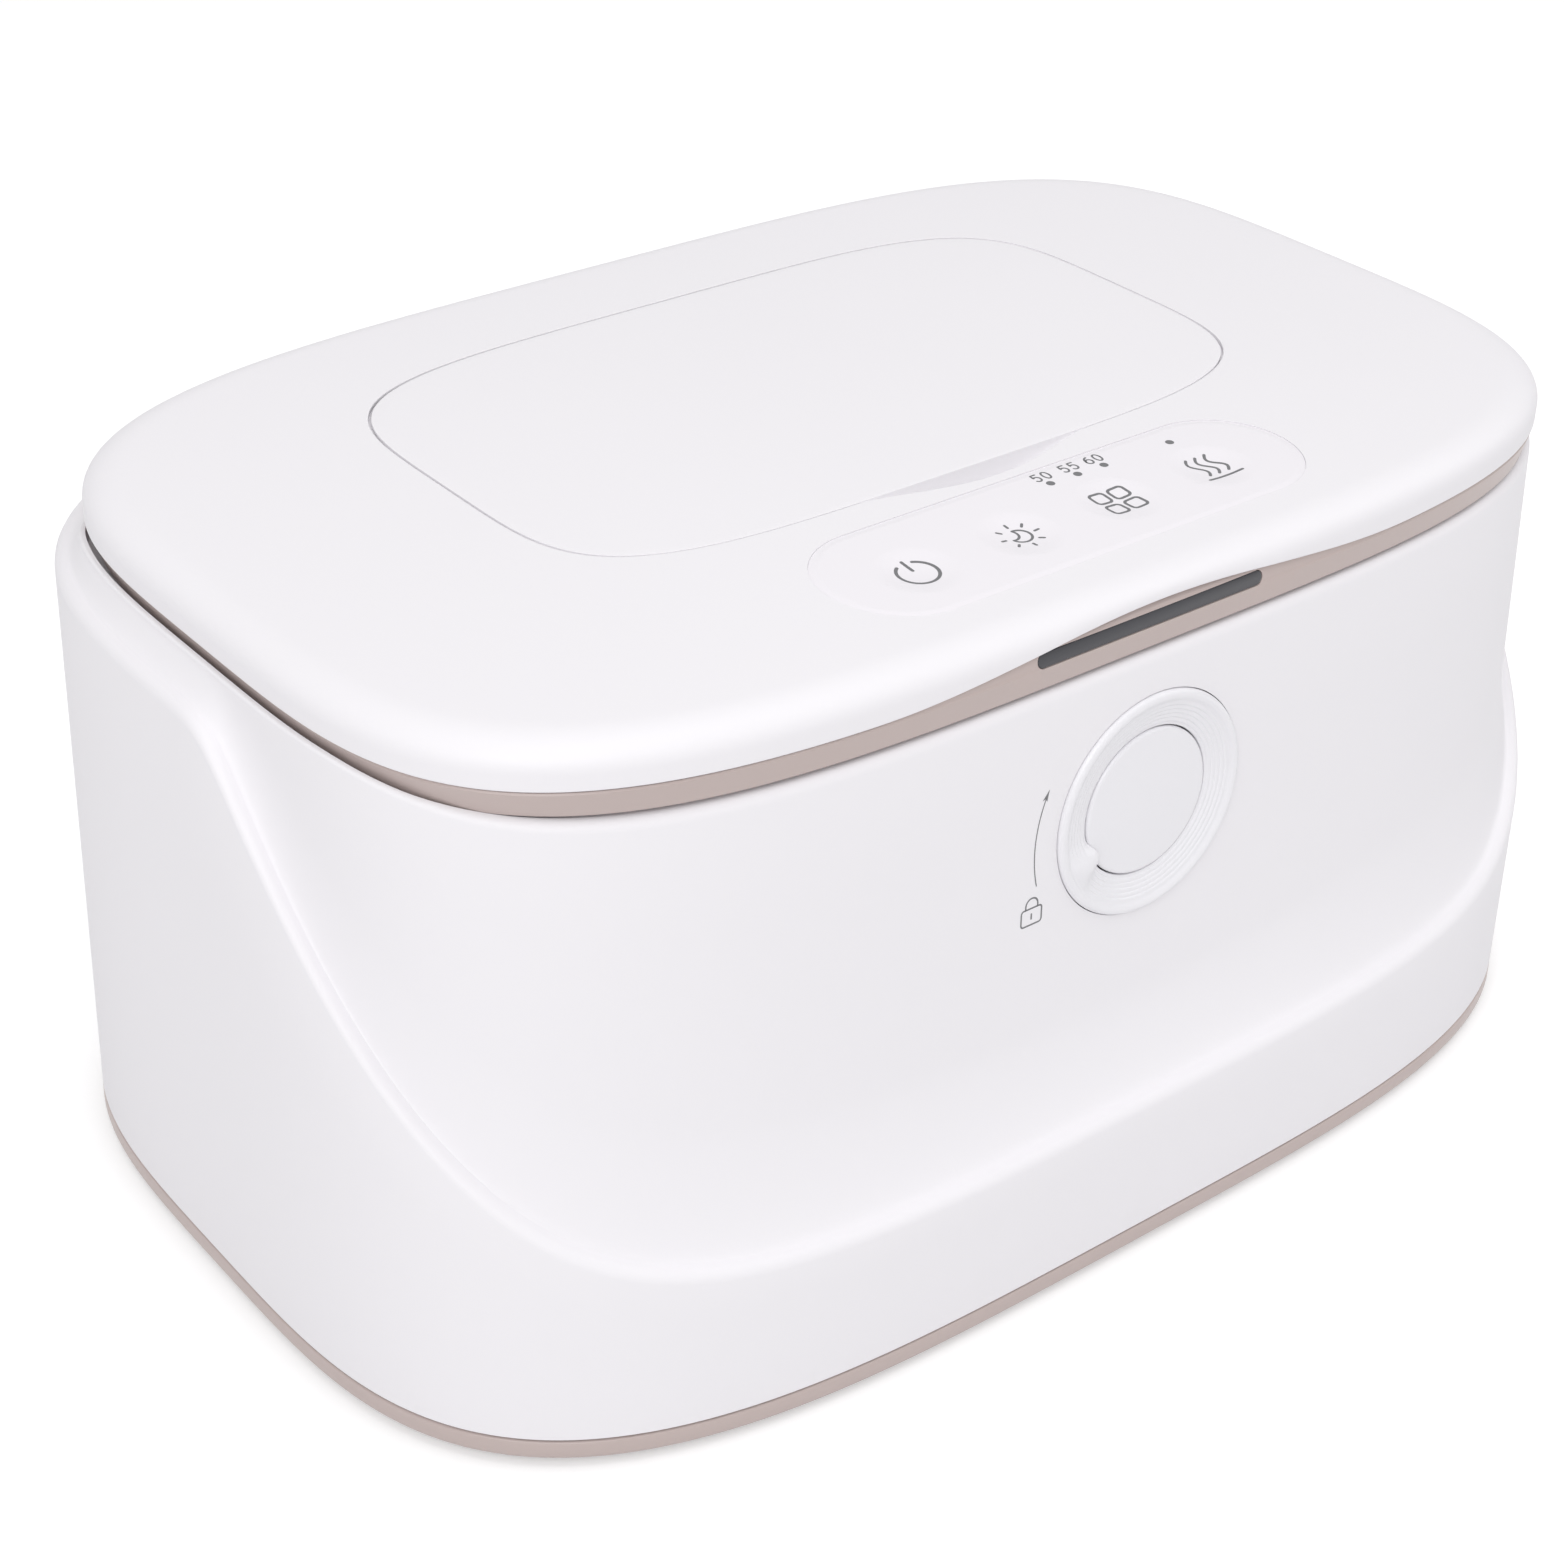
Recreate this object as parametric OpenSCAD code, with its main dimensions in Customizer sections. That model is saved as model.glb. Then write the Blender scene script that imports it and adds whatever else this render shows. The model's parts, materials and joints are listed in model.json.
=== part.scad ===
// Baby wipe warmer: a two-tier moulded housing with a removable wipes tank, a hinged lid with a flip-up
// dispenser door, and a turning lock ring around a push-to-open button.
// Millimetres, +Z up, the front faces -Y, origin on the table under the middle of the footprint.

/* [Footprint and base] */
// Width of the footprint at the base rim
foot_w = 240; // [216:1:264]
// Depth of the footprint at the base rim
foot_d = 161.2; // [150:0.2:176]
// Squareness of the footprint outline
foot_n = 3.66; // [3.2:0.02:4.2]
// Free height of the rubber feet under the base
foot_drop = 1.5; // [1:0.1:3]
// Radius of a rubber foot
foot_r = 7.5; // [5:0.1:9]
// Height of the base rim
rim_h = 3.3; // [2.6:0.1:4]
// Thickness of the base floor
base_floor = 2.5; // [2:0.1:3.4]
// Seam between the base rim and the housing
rim_seam = 0.3; // [0.1:0.05:0.6]

/* [Housing] */
// Wall thickness of the housing
wall = 2.4; // [1.8:0.1:3]
// Height of the rear ledge above the table
ledge_z = 103; // [92:0.5:114]
// Height of the front ledge edge above the table
front_ledge_z = 30; // [26:0.5:36]
// Rise of the side ledge for each millimetre towards the rear
ledge_slope = 1.1; // [0.9:0.02:1.3]
// How far behind the front of the footprint the side ledge starts to rise
ledge_start = 6.4; // [4:0.2:10]
// How far each side of the lower tier draws in up to the ledge
tier_in = 1.2; // [0:0.1:2]
// How far the front and the back of the lower tier lean out up to the ledge
tier_out = 1.6; // [0:0.1:2.4]
// Squareness of the lower tier at the ledge
tier_n = 3.26; // [3:0.02:3.8]
// Step in from each side of the footprint to the upper tier
step_x = 7.8; // [6.5:0.1:9]
// Step in from the front and the back of the footprint to the upper tier
step_y = 9; // [8:0.1:10]
// Squareness of the upper tier and the lid
upper_n = 3.9; // [3.7:0.02:4.2]
// Draft of the upper tier in degrees
draft = 2.2; // [1:0.1:3]
// Height of the deck above the rear ledge
deck_step = 0.8; // [0.4:0.1:1]

/* [Lid] */
// Gap between the deck and the lid frame
lid_gap = 0.8; // [0.5:0.1:1.2]
// Height of the coloured lid frame at its sides
frame_h = 4.1; // [3.6:0.1:4.6]
// Wall thickness of the lid frame
frame_t = 3.2; // [2.6:0.1:3.6]
// Rise of the frame over the window
scoop_h = 3.7; // [3:0.1:4]
// Half width of that rise
scoop_w = 52; // [46:1:60]
// Wall thickness of the lid shell
lid_t = 2.4; // [2:0.1:2.8]
// Radius of the rounded lid edge
lid_round = 4.2; // [3.6:0.1:4.8]
// Height of the lid top above the deck
lid_rise = 13.1; // [12.6:0.1:13.8]
// Crown of the lid top
crown = 1.4; // [0.8:0.1:2]

/* [Dispenser door] */
// Distance of the door from each side of the upper tier
door_in = 45; // [42:0.5:50]
// Distance of the door from the front of the upper tier
door_front = 41.6; // [41:0.2:46]
// Distance of the door from the back of the upper tier
door_rear = 24; // [22:0.2:28]
// Squareness of the door outline
door_n = 4.4; // [4:0.1:5]
// Gap around the door
door_gap = 0.5; // [0.45:0.05:0.7]
// Width of the dispensing opening
slot_w = 62; // [50:1:66]
// Depth of the dispensing opening
slot_d = 9; // [6:0.5:12]

/* [Control panel] */
// Width of the touch panel
panel_w = 89; // [80:0.5:96]
// Height of the touch panel
panel_h = 25.2; // [22:0.2:27]
// Middle of the touch panel along X
panel_x = 1.7; // [0:0.1:3]
// Distance of the panel's middle from the front of the upper tier
panel_in = 22.6; // [21.5:0.1:23]
// Radius of a dished touch area
dish_r = 6.7; // [5.5:0.1:7.5]
// Spacing of the touch areas
dish_pitch = 19.3; // [17:0.1:20.5]
// Width of the indicator window
window_w = 45.5; // [38:0.5:52]
// Height of the indicator window
window_h = 2.8; // [2:0.1:3]

/* [Lock ring and button] */
// Depth of the ring axis below the deck
knob_drop = 24.8; // [24:0.05:28]
// Outer radius of the lock ring
ring_r = 18; // [16:0.1:20]
// Radius of the push button
button_r = 11.8; // [10:0.1:13]
// Travel of the push button
button_travel = 2.5; // [1.5:0.1:3]
// Direction of the ring pointer in degrees
pointer_angle = 195; // [180:1:215]

/* [Wipes tank] */
// Distance of the tank from each side of the upper tier
tank_side = 11.2; // [10.4:0.1:14]
// Distance of the tank from the back of the upper tier
tank_back = 10.4; // [10:0.1:13]
// Wall thickness of the tank
tank_t = 2; // [1.5:0.1:2.6]
// Height of the tank underside above the table
tank_z = 31; // [29.5:0.1:34]

/* [Hinges and power] */
// Radius of a lid hinge barrel
barrel_r = 2.4; // [2.2:0.05:2.6]
// Radius of a lid hinge pin
pin_r = 1.5; // [1.2:0.05:1.6]
// Distance of each lid hinge from the middle
hinge_x = 42; // [34:1:60]
// Radius of a door pin
door_pin_r = 0.5; // [0.4:0.05:0.55]
// Distance of each door arm from the middle
arm_x = 26; // [20:1:32]
// Distance of the power inlet from the middle
jack_x = 40; // [30:1:44]
// Radius of the inlet nose
jack_r = 3.9; // [3.5:0.1:4.2]

/* [Hidden] */
$fn = 48;

// Clearances
pin_clear = 0.05;
run_gap = 0.3;
part_gap = 0.15;

// Heights
deck_z = ledge_z + deck_step;
upper_top = deck_z + 0.2;
knob_z = deck_z - knob_drop;
base_z = foot_drop;
rim_top = base_z + rim_h;
shell_z = rim_top + rim_seam;
floor_z = base_z + base_floor;
frame_z = deck_z + lid_gap;
frame_top = frame_z + frame_h;
edge_z = frame_top + part_gap;
lid_z = deck_z + lid_rise;
liner_rise = 3.2;
liner_z = deck_z + liner_rise;
liner_t = 1.4;
gasket_z = liner_z + liner_t;
gasket_t = 1;
well_t = 1.8;
well_z = gasket_z + gasket_t + well_t;
lid_skirt = 2.45;
spring_z = edge_z + lid_skirt;

// Outlines: half width, half depth, squareness, middle along Y
tier_w = foot_w - 2 * tier_in;
tier_d = foot_d + 2 * tier_out;
upper_w = foot_w - 2 * step_x;
upper_d = foot_d - 2 * step_y;
upper_y = 0.3;
upper_front = upper_y - upper_d / 2;
upper_back = upper_y + upper_d / 2;
lid_a = upper_w / 2 + 0.8;
lid_b = upper_d / 2 + 0.2;
lid_n = upper_n - 0.05;
lid_y = upper_y + 0.05;
frame_a = lid_a - 0.4;
frame_b = lid_b - 0.2;
frame_lean = [1.2, 0.6];
door_a = upper_w / 2 - door_in;
door_b = (upper_d - door_front - door_rear) / 2;
door_y = upper_y + (door_front - door_rear) / 2;
gasket_half = [42, 18];
gasket_n = 4;
lip_over = 3.4;
lip_t = 1.2;
tank_fillet = 5;
deck_edge = 0.9;
deck_t = 2.2;
rim_soft = 0.8;
rim_top_soft = 0.4;
rim_lip = 3.5;
rim_lip_t = 1.9;
lip_in = wall + run_gap;

// Outline columns crowd into the corners
cols = 72;
crowd = 0.5;

// Ledge shape
ledge_start_y = ledge_start - foot_d / 2;
crest_r = 1;
edge_soft = 4;
top_soft = 3;
corner_rise = 10.5;
corner_extra = 4;
flare = 6;
upper_round = 1.6;
upper_round_min = 0.5;

// Screws: head radius, head height, shank radius
big_screw = [2.8, 1.2, 1.5];
small_screw = [2, 1.2, 1];
screw_free = 0.2;

// Lock ring and latch, measured along the tilted ring axis from the wall
knob_y = upper_front - tan(draft) * (upper_top - knob_z);
ring_lip = 0.8;
ring_back = wall + 0.5;
flange_r = ring_r + 1.6;
flange_t = 1.2;
flange_back = ring_back + flange_t;
clip_t = 1.3;
clip_z = flange_back + run_gap + clip_t;
clip_ear_r = ring_r + 6.3;
clip_boss_r = 2.4;
clip_screw_l = 2.8;
button_skirt = 3.2;
button_top_t = 1.4;
button_bore = 3;
stem_r = 3.2;
pointer_at = button_r + 1.6;
pointer_r = 2.7;
pointer_h = 0.85;
pointer_deep = 1.1;
pointer_turn = 55;
slider_front = 8.4;
slider_t = 2.5;
slider_half = 9;
slider_low = 10;
catch_low = 16.6;
catch_h = 2;
pocket_r = 4.2;
pocket_floor = slider_front + 0.8;
spring_solid = 2.7;
guide_front = pocket_floor + button_travel + spring_solid;
guide_t = 1.5;
guide_boss_x = 27;
guide_boss_r = 3;
guide_low = 8;
guide_high = 6;
guide_screw_y = -4;
rail_t = 1.5;
peg_r = 1.5;
peg_h = 1.1;
spring_mean_r = 3.2;
spring_wire_r = 0.25;
spring_curls = 4;
hook_y = upper_front + 4.9;
hook_t = 1.6;
hook_half = 6;
hook_screw_x = 9;
hook_screw_in = 4.3;
hook_foot = [12, 6.4, 1.4];
hook_slot = [1.5, 2.1, 5.9];
nose_h = 2;
nose_root = 0.8;
hook_low = knob_z + catch_low - nose_h - 0.25;
catch_y = knob_y + slider_front + catch_low * sin(draft);
nose_y = catch_y - run_gap;
nose_reach = nose_y - hook_y - hook_t + 0.01;

// Wipes tank: its front leaves room for the latch behind the ring
tank_n = 4;
tank_draft = [3, 2.5];
latch_clear = 0.54;
latch_deep = guide_front + guide_t + small_screw[1] + latch_clear;
tank_front = latch_deep - tan(draft) * knob_drop - tank_draft[1] * knob_drop / (deck_z - tank_z);
tank_w = upper_w - 2 * tank_side;
tank_d = upper_d - tank_front - tank_back;
tank_y = upper_y + (tank_front - tank_back) / 2;

// Lid hinge
hinge_y = upper_back + 1.1;
hinge_z = deck_z + 2.2;
knuckle_half = 7;
lug_w = 4.7;
lug_gap = 0.3;
hinge_free = 0.5;

// Door hinge: goosenecked arms that swing out around the rear edge of the opening
arm_back = 3;
arm_deep = 2;
arm_half = 4;
arm_t = 1.1;
arm_clear = 0.3;
arm_y = door_y + door_b + arm_back;
arm_z = lid_top(0, door_y + door_b) - arm_deep;
arm_eye_r = door_pin_r + 0.45;
arm_side = pow((arm_x + arm_half) / (door_a + door_gap), door_n);
arm_mouth = arm_y - door_y - (door_b + door_gap) * pow(1 - arm_side, 1 / door_n);
arm_low = arm_mouth + arm_clear + arm_t;
arm_reach = arm_back + 1.9;
arm_swing = sqrt(pow(arm_reach, 2) + pow(arm_low, 2) - pow(arm_z - well_z, 2)) + arm_clear;
arm_boss_w = 3.5;
arm_boss_y = 2.1;
arm_boss_low = 1.9;
arm_boss_skin = 0.5;
door_edge = 0.3;
door_taper = 0.8;
door_under = well_z + 2.8;
door_rib = [3, 4.6, 1.8];

// Panel
panel_y = upper_front + panel_in;
panel_free = 0.15;
panel_tilt = atan((lid_top(0, panel_y + panel_h / 2) - lid_top(0, panel_y - panel_h / 2)) / panel_h);
panel_t = 1;
dish_deep = 0.4;
dish_drop = 1.3;
dish_ball = (dish_r * dish_r + dish_deep * dish_deep) / (2 * dish_deep);
dish_first = panel_x - 1.5 * dish_pitch - 0.5;
led_pitch = 5.45;
led_side = dish_first + 2 * dish_pitch;
led_x = [led_side - led_pitch, led_side, led_side + led_pitch, dish_first + 3 * dish_pitch];
led_rise = 7.9;
led_y = panel_y + led_rise;
led_r = 0.5;

// Places set in from the outlines that carry them
boss_in = [23, 24.6];
foot_in = [36, 34.6];
clamp_in = [15, 21.5];
liner_in = [22, 20.5];
boss_at = corners(foot_w / 2 - boss_in[0], foot_d / 2 - boss_in[1], 0);
foot_at = corners(foot_w / 2 - foot_in[0], foot_d / 2 - foot_in[1], 0);
clamp_at = corners(tank_w / 2 - clamp_in[0], tank_d / 2 - clamp_in[1], tank_y);
liner_at = corners(tank_w / 2 - liner_in[0], tank_d / 2 - liner_in[1], tank_y);

// Control board behind the base, with the power inlet at its rear edge
board_lo = [jack_x - 64, foot_d / 2 - 50.6];
board_hi = [jack_x + 16, foot_d / 2 - 4.6];
board_z = floor_z + 8;
board_t = 1.6;
board_top = board_z + board_t;
post_r = 3;
post_in = 4;
post_rear = 6;
post_at = [for (x = [board_lo[0] + post_in, board_hi[0] - post_in],
  y = [board_lo[1] + post_in, board_hi[1] - post_rear])
  [x, y]];
jack_half = 5;
jack_up = 5.5;
jack_z = board_top + jack_up;
jack_face_y = wall_y(jack_x) - 0.6;

function corners(x, y, yc) = [for (s = [1, -1], t = [1, -1]) [s * x, yc + t * y]];

// Point on a rounded outline: half sizes, squareness, middle along Y and angle
function rim_point(a, b, n, yc, ang) =
  let (r = pow(pow(abs(cos(ang)), n) + pow(abs(sin(ang)), n), -1 / n))
  [a * r * cos(ang), yc + b * r * sin(ang)];

// Angle of column i
function column(i, count) =
  let (t = 360 * i / count)
  t + crowd * sin(4 * t) * 45 / PI;

function lift(p, z) = [p[0], p[1], z];
function mix(p, q, t) = p * (1 - t) + q * t;
function soft_step(x, s) = s * ln(1 + exp(x / s));

// Lower tier, upper tier, tank, lid and door outlines, each at an inset d
function lower(ang, z, d = 0) =
  let (t = (z - base_z) / (ledge_z - base_z))
  lift(rim_point(mix(foot_w / 2, tier_w / 2, t) - d, mix(foot_d / 2, tier_d / 2, t) - d,
    mix(foot_n, tier_n, t), 0, ang), z);
function upper(ang, z, d = 0) =
  let (lean = tan(draft) * (upper_top - z))
  lift(rim_point(upper_w / 2 + lean - d, upper_d / 2 + lean - d, upper_n, upper_y, ang), z);
function tank(ang, z, d = 0) =
  let (t = max(0, (deck_z - z) / (deck_z - tank_z)))
  lift(
    rim_point(tank_w / 2 - tank_draft[0] * t - d, tank_d / 2 - tank_draft[1] * t - d, tank_n, tank_y, ang),
    z);
function lid(ang, d = 0) = rim_point(lid_a - d, lid_b - d, lid_n, lid_y, ang);
function door(ang, d = 0) = rim_point(door_a - d, door_b - d, door_n, door_y, ang);
function gasket(ang) = rim_point(gasket_half[0], gasket_half[1], gasket_n, door_y, ang);

// Where the rear wall of the lower tier lies at x
function wall_y(x) = foot_d / 2 * pow(1 - pow(x / (foot_w / 2), foot_n), 1 / foot_n);

// Height of the lid top over a point
function lid_top(x, y) =
  let (s = pow(pow(abs(x) / lid_a, lid_n) + pow(abs(y - lid_y) / lid_b, lid_n), 1 / lid_n))
  lid_z - crown * s * s;
function on_lid(p) = [p[0], p[1], lid_top(p[0], p[1])];

// Rise of the lid line over the window
function scoop(ang) =
  let (p = lid(ang))
  p[1] < 0 && abs(p[0]) < scoop_w ? scoop_h * pow(cos(90 * p[0] / scoop_w), 2) : 0;

// Outer edge of the ledge: level in front, climbing along the sides, level behind
function crest(ang) =
  let (y = lower(ang, (front_ledge_z + ledge_z) / 2)[1],
    climb = front_ledge_z + ledge_slope * soft_step(y - ledge_start_y, edge_soft))
  ledge_z - soft_step(ledge_z - climb, top_soft);

// Inner edge of the ledge, where it runs into the upper wall
function corner(ang) =
  let (c = crest(ang),
    low = pow((c - front_ledge_z) / (ledge_z - front_ledge_z), 2),
    rise = (corner_rise + corner_extra * pow(sin(2 * ang), 2)) * (1 - low))
  min(c + rise, ledge_z + deck_step / 4);

function curve(p, q, r, t) = mix(mix(p, q, t), mix(q, r, t), t);

// Closed skin: columns of profile points, joined around and from the last point back to the first
module skin(list) {
  n = len(list);
  m = len(list[0]);
  polyhedron(
    points = [for (c = list) each c],
    faces = [for (i = [0 : n - 1], k = [0 : m - 1])
      let (j = (i + 1) % n, l = (k + 1) % m, a = i * m + k, b = i * m + l, c = j * m + l, d = j * m + k)
      each [[a, b, c], [a, c, d]]]);
}

// Capped skin: the first and last rings are closed by flat caps
module capped(list) {
  n = len(list);
  m = len(list[0]);
  polyhedron(
    points = [for (c = list) each c],
    faces = concat(
      [for (i = [0 : n - 1], k = [0 : m - 2])
        let (j = (i + 1) % n, a = i * m + k, b = a + 1, d = j * m + k, c = d + 1)
        each [[a, b, c], [a, c, d]]],
      [[for (i = [0 : n - 1]) i * m]],
      [[for (i = [n - 1 : -1 : 0]) i * m + m - 1]]));
}

// Flat plate of a rounded outline
module plate(a, b, n, yc, z0, z1, count = cols) {
  translate([0, 0, z0])
    linear_extrude(z1 - z0)
      polygon([for (i = [0 : count - 1]) rim_point(a, b, n, yc, column(i, count))]);
}

// Flat ring between two insets of one outline
module band(a, b, n, yc, z0, z1, w, count = cols) {
  difference() {
    plate(a, b, n, yc, z0, z1, count);
    plate(a - w, b - w, n, yc, z0 - 1, z1 + 1, count);
  }
}

// Block given by its two corners
module block(lo, hi) {
  translate(lo)
    cube(hi - lo);
}

module rod(p, r, h) {
  translate(p)
    cylinder(r = r, h = h);
}

// Rod along X from x0 to x1
module rod_x(x0, x1, y, z, r) {
  translate([x0, y, z])
    rotate([0, 90, 0])
      cylinder(r = r, h = x1 - x0);
}

// Slot with round ends, lying along X
module slot(x, y, w, d, z0, z1) {
  block([x - w / 2 + d / 2, y - d / 2, z0], [x + w / 2 - d / 2, y + d / 2, z1]);
  for (s = [-1, 1])
    rod([x + s * (w / 2 - d / 2), y, z0], d / 2, z1 - z0);
}

// Screw with its head below and its shank upwards from z
module screw(size, z, length) {
  rod([0, 0, z - size[1]], size[0], size[1]);
  rod([0, 0, z - 0.01], size[2], length + 0.01);
}

// Frame of the ring axis: +Z points out of the wall, +Y up the wall
module at_knob() {
  translate([0, knob_y, knob_z])
    rotate([90 - draft, 0, 0])
      children();
}

module at_panel() {
  translate([panel_x, panel_y, lid_top(0, panel_y)])
    rotate([panel_tilt, 0, 0])
      children();
}

function housing_profile(ang) =
  let (c = crest(ang), k = corner(ang),
    top = min(k + flare, ledge_z + deck_step / 4 + 0.05),
    r = max(upper_round_min, min(upper_round, deck_z - top - 0.05)),
    p = lower(ang, c, crest_r), q = upper(ang, k), w = upper(ang, top),
    edge = rim_point(tank_w / 2 + deck_edge, tank_d / 2 + deck_edge, tank_n, tank_y, ang))
  [
    lower(ang, shell_z),
    lower(ang, c - crest_r),
    lower(ang, c - 0.29 * crest_r, 0.29 * crest_r),
    p,
    curve(p, q, w, 0.35),
    curve(p, q, w, 0.7),
    w,
    upper(ang, deck_z - r),
    lift(upper(ang, deck_z - 0.29 * r, 0.29 * r), deck_z - 0.29 * r),
    lift(upper(ang, deck_z, r), deck_z),
    lift(edge, deck_z),
    lift(edge, deck_z - deck_t),
    upper(ang, deck_z - deck_t, wall),
    upper(ang, min(k, deck_z - deck_t) - wall / 2, wall),
    lower(ang, c - wall, wall),
    lower(ang, shell_z, wall)
  ];

module outer_housing() {
  color("white")
    difference() {
      union() {
        skin([for (i = [0 : cols - 1]) housing_profile(column(i, cols))]);
        hinge_lugs();
        housing_bosses();
        at_knob()
          wall_bosses();
      }
      hinge_bores();
      for (p = boss_at)
        rod([p[0], p[1], floor_z], big_screw[2] + pin_clear, boss_bore);
      at_knob() {
        translate([0, 0, -wall - 1])
          cylinder(r = ring_r + run_gap, h = wall + 3, $fn = 96);
        wall_boss_bores();
      }
      block([-hook_half - hook_slot[0], hook_y - hook_slot[1], deck_z - deck_t - 1.4],
        [hook_half + hook_slot[0], hook_y + hook_slot[2], deck_z + 1]);
      translate([jack_x, jack_face_y - 6, jack_z])
        rotate([-90, 0, 0])
          cylinder(r = jack_r + run_gap, h = 12);
    }
}

module hinge_lugs() {
  for (s = [-1, 1], t = [-1, 1])
    translate([s * hinge_x + t * (knuckle_half + lug_gap + lug_w / 2) - lug_w / 2, 0, 0]) {
      rod_x(0, lug_w, hinge_y, hinge_z, barrel_r);
      block([0, hinge_y - 1, ledge_z - 0.4], [lug_w, hinge_y + barrel_r, hinge_z]);
    }
}

module hinge_bores() {
  for (s = [-1, 1])
    rod_x(s * hinge_x - 20, s * hinge_x + 20, hinge_y, hinge_z, pin_r + pin_clear);
}

boss_r = 4;
boss_h = 18;
boss_bore = 12;
rib_half = 0.8;
rib_h = 12;
rib_reach = 8.8;

// Screw bosses in the housing corners, tied to the wall by ribs
module housing_bosses() {
  for (p = boss_at) {
    rod([p[0], p[1], floor_z + run_gap], boss_r, boss_h);
    translate([p[0], p[1], rim_top + rim_lip + rim_seam + 0.5])
      rotate([0, 0, atan2(p[1], p[0])])
        block([boss_r / 2, -rib_half, 0], [rib_reach, rib_half, rib_h]);
  }
}

module wall_bosses() {
  for (g = [30, 150, 270])
    rotate([0, 0, g])
      rod([clip_ear_r, 0, -flange_back - run_gap], clip_boss_r, flange_back + run_gap - wall + 0.6);
  for (s = [-1, 1])
    rod([s * guide_boss_x, guide_screw_y, -guide_front], guide_boss_r, guide_front - wall + 0.6);
}

module wall_boss_bores() {
  for (g = [30, 150, 270])
    rotate([0, 0, g])
      rod([clip_ear_r, 0, -flange_back - 1], small_screw[2] + pin_clear, clip_screw_l);
  for (s = [-1, 1])
    rod([s * guide_boss_x, guide_screw_y, -guide_front - 1], small_screw[2] + pin_clear, 8);
}

module base_plate() {
  color("tan")
    difference() {
      union() {
        capped([for (i = [0 : cols - 1])
          let (g = column(i, cols))
          [lower(g, base_z, rim_soft), lower(g, base_z + rim_soft),
            lower(g, rim_top - rim_top_soft), lower(g, rim_top, rim_top_soft)]]);
        plate(foot_w / 2 - lip_in, foot_d / 2 - lip_in, foot_n, 0, rim_top - 0.5, rim_top + rim_lip);
      }
      plate(foot_w / 2 - lip_in - rim_lip_t, foot_d / 2 - lip_in - rim_lip_t, foot_n, 0,
        floor_z, rim_top + rim_lip + 1);
      for (p = boss_at) {
        rod([p[0], p[1], base_z - 1], big_screw[0] + run_gap, 1 + big_screw[1] + 0.1);
        rod([p[0], p[1], base_z - 1], big_screw[2] + 0.2, 10);
      }
      for (p = foot_at)
        rod([p[0], p[1], base_z - 1], foot_r + 0.1, 2.3);
    }
  color("tan")
    for (p = post_at)
      difference() {
        rod([p[0], p[1], floor_z - 0.01], post_r, board_z - floor_z + 0.01);
        rod([p[0], p[1], floor_z + 1], small_screw[2] + pin_clear, board_z);
      }
}

module rubber_feet() {
  color("dimgray")
    for (p = foot_at)
      translate([p[0], p[1], 0]) {
        cylinder(r1 = foot_r - 0.6, r2 = foot_r, h = 0.6);
        rod([0, 0, 0.6], foot_r, base_z + 1.2 - 0.6);
      }
}

module base_screws() {
  color("silver")
    for (p = boss_at)
      translate([p[0], p[1], 0])
        screw(big_screw, base_z + big_screw[1] + 0.1, 10);
}

module wipes_tank() {
  color("whitesmoke")
    difference() {
      union() {
        capped([for (i = [0 : cols - 1])
          let (g = column(i, cols), f = tank_fillet, t = tank_t, fi = tank_fillet - tank_t)
          [
            tank(g, tank_z, f),
            tank(g, tank_z + 0.29 * f, 0.29 * f),
            tank(g, tank_z + f),
            tank(g, deck_z),
            tank(g, deck_z, -lip_over),
            tank(g, deck_z + lip_t, -lip_over),
            tank(g, deck_z + lip_t, t),
            tank(g, tank_z + f, t),
            tank(g, tank_z + t + 0.29 * fi, t + 0.29 * fi),
            tank(g, tank_z + t, t + fi)
          ]]);
        for (p = clamp_at)
          rod([p[0], p[1], pad_z], clamp_boss_r, tank_z - pad_z + 0.4);
      }
      for (p = clamp_at)
        rod([p[0], p[1], pad_z - 1], small_screw[2] + pin_clear, 5.6);
    }
}

// Heater pieces are stacked down from the tank underside
heater_half = [tank_w / 2 - 26, tank_d / 2 - 19.5];
film_half = heater_half - [7, 6];
clamp_half = heater_half + [17, 4];
clamp_open = heater_half - [13, 13];
heater_r = 6;
film_r = 4;
clamp_boss_r = 4;
plate_z = tank_z - 2;
film_z = plate_z - 0.6;
pad_z = film_z - 3;
clamp_z = pad_z - 1.2;
sensor_at = [heater_half[0] - 25, tank_y + 7];
sensor_r = 2.5;
fuse_at = [25 - heater_half[0], tank_y + 7];
fuse_half = 6;
fuse_r = 1.6;

module heating_plate() {
  color("silver")
    rounded(heater_half, heater_r, plate_z, tank_z);
}

module rounded(half, r, z0, z1) {
  translate([0, tank_y, 0]) {
    block([-half[0] + r, -half[1], z0], [half[0] - r, half[1], z1]);
    block([-half[0], -half[1] + r, z0], [half[0], half[1] - r, z1]);
    for (s = [-1, 1], t = [-1, 1])
      rod([s * (half[0] - r), t * (half[1] - r), z0], r, z1 - z0);
  }
}

module heating_film() {
  color("orange")
    rounded(film_half, film_r, film_z, plate_z);
}

module insulation_pad() {
  color("lightgray")
    difference() {
      rounded(heater_half, heater_r, pad_z, film_z);
      rod([sensor_at[0], sensor_at[1], pad_z - 1], sensor_r + run_gap, film_z - pad_z + 2);
      block([fuse_at[0] - fuse_half - 2, fuse_at[1] - fuse_r - 0.8, pad_z - 1],
        [fuse_at[0] + fuse_half + 2, fuse_at[1] + fuse_r + 0.8, film_z + 1]);
    }
}

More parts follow.
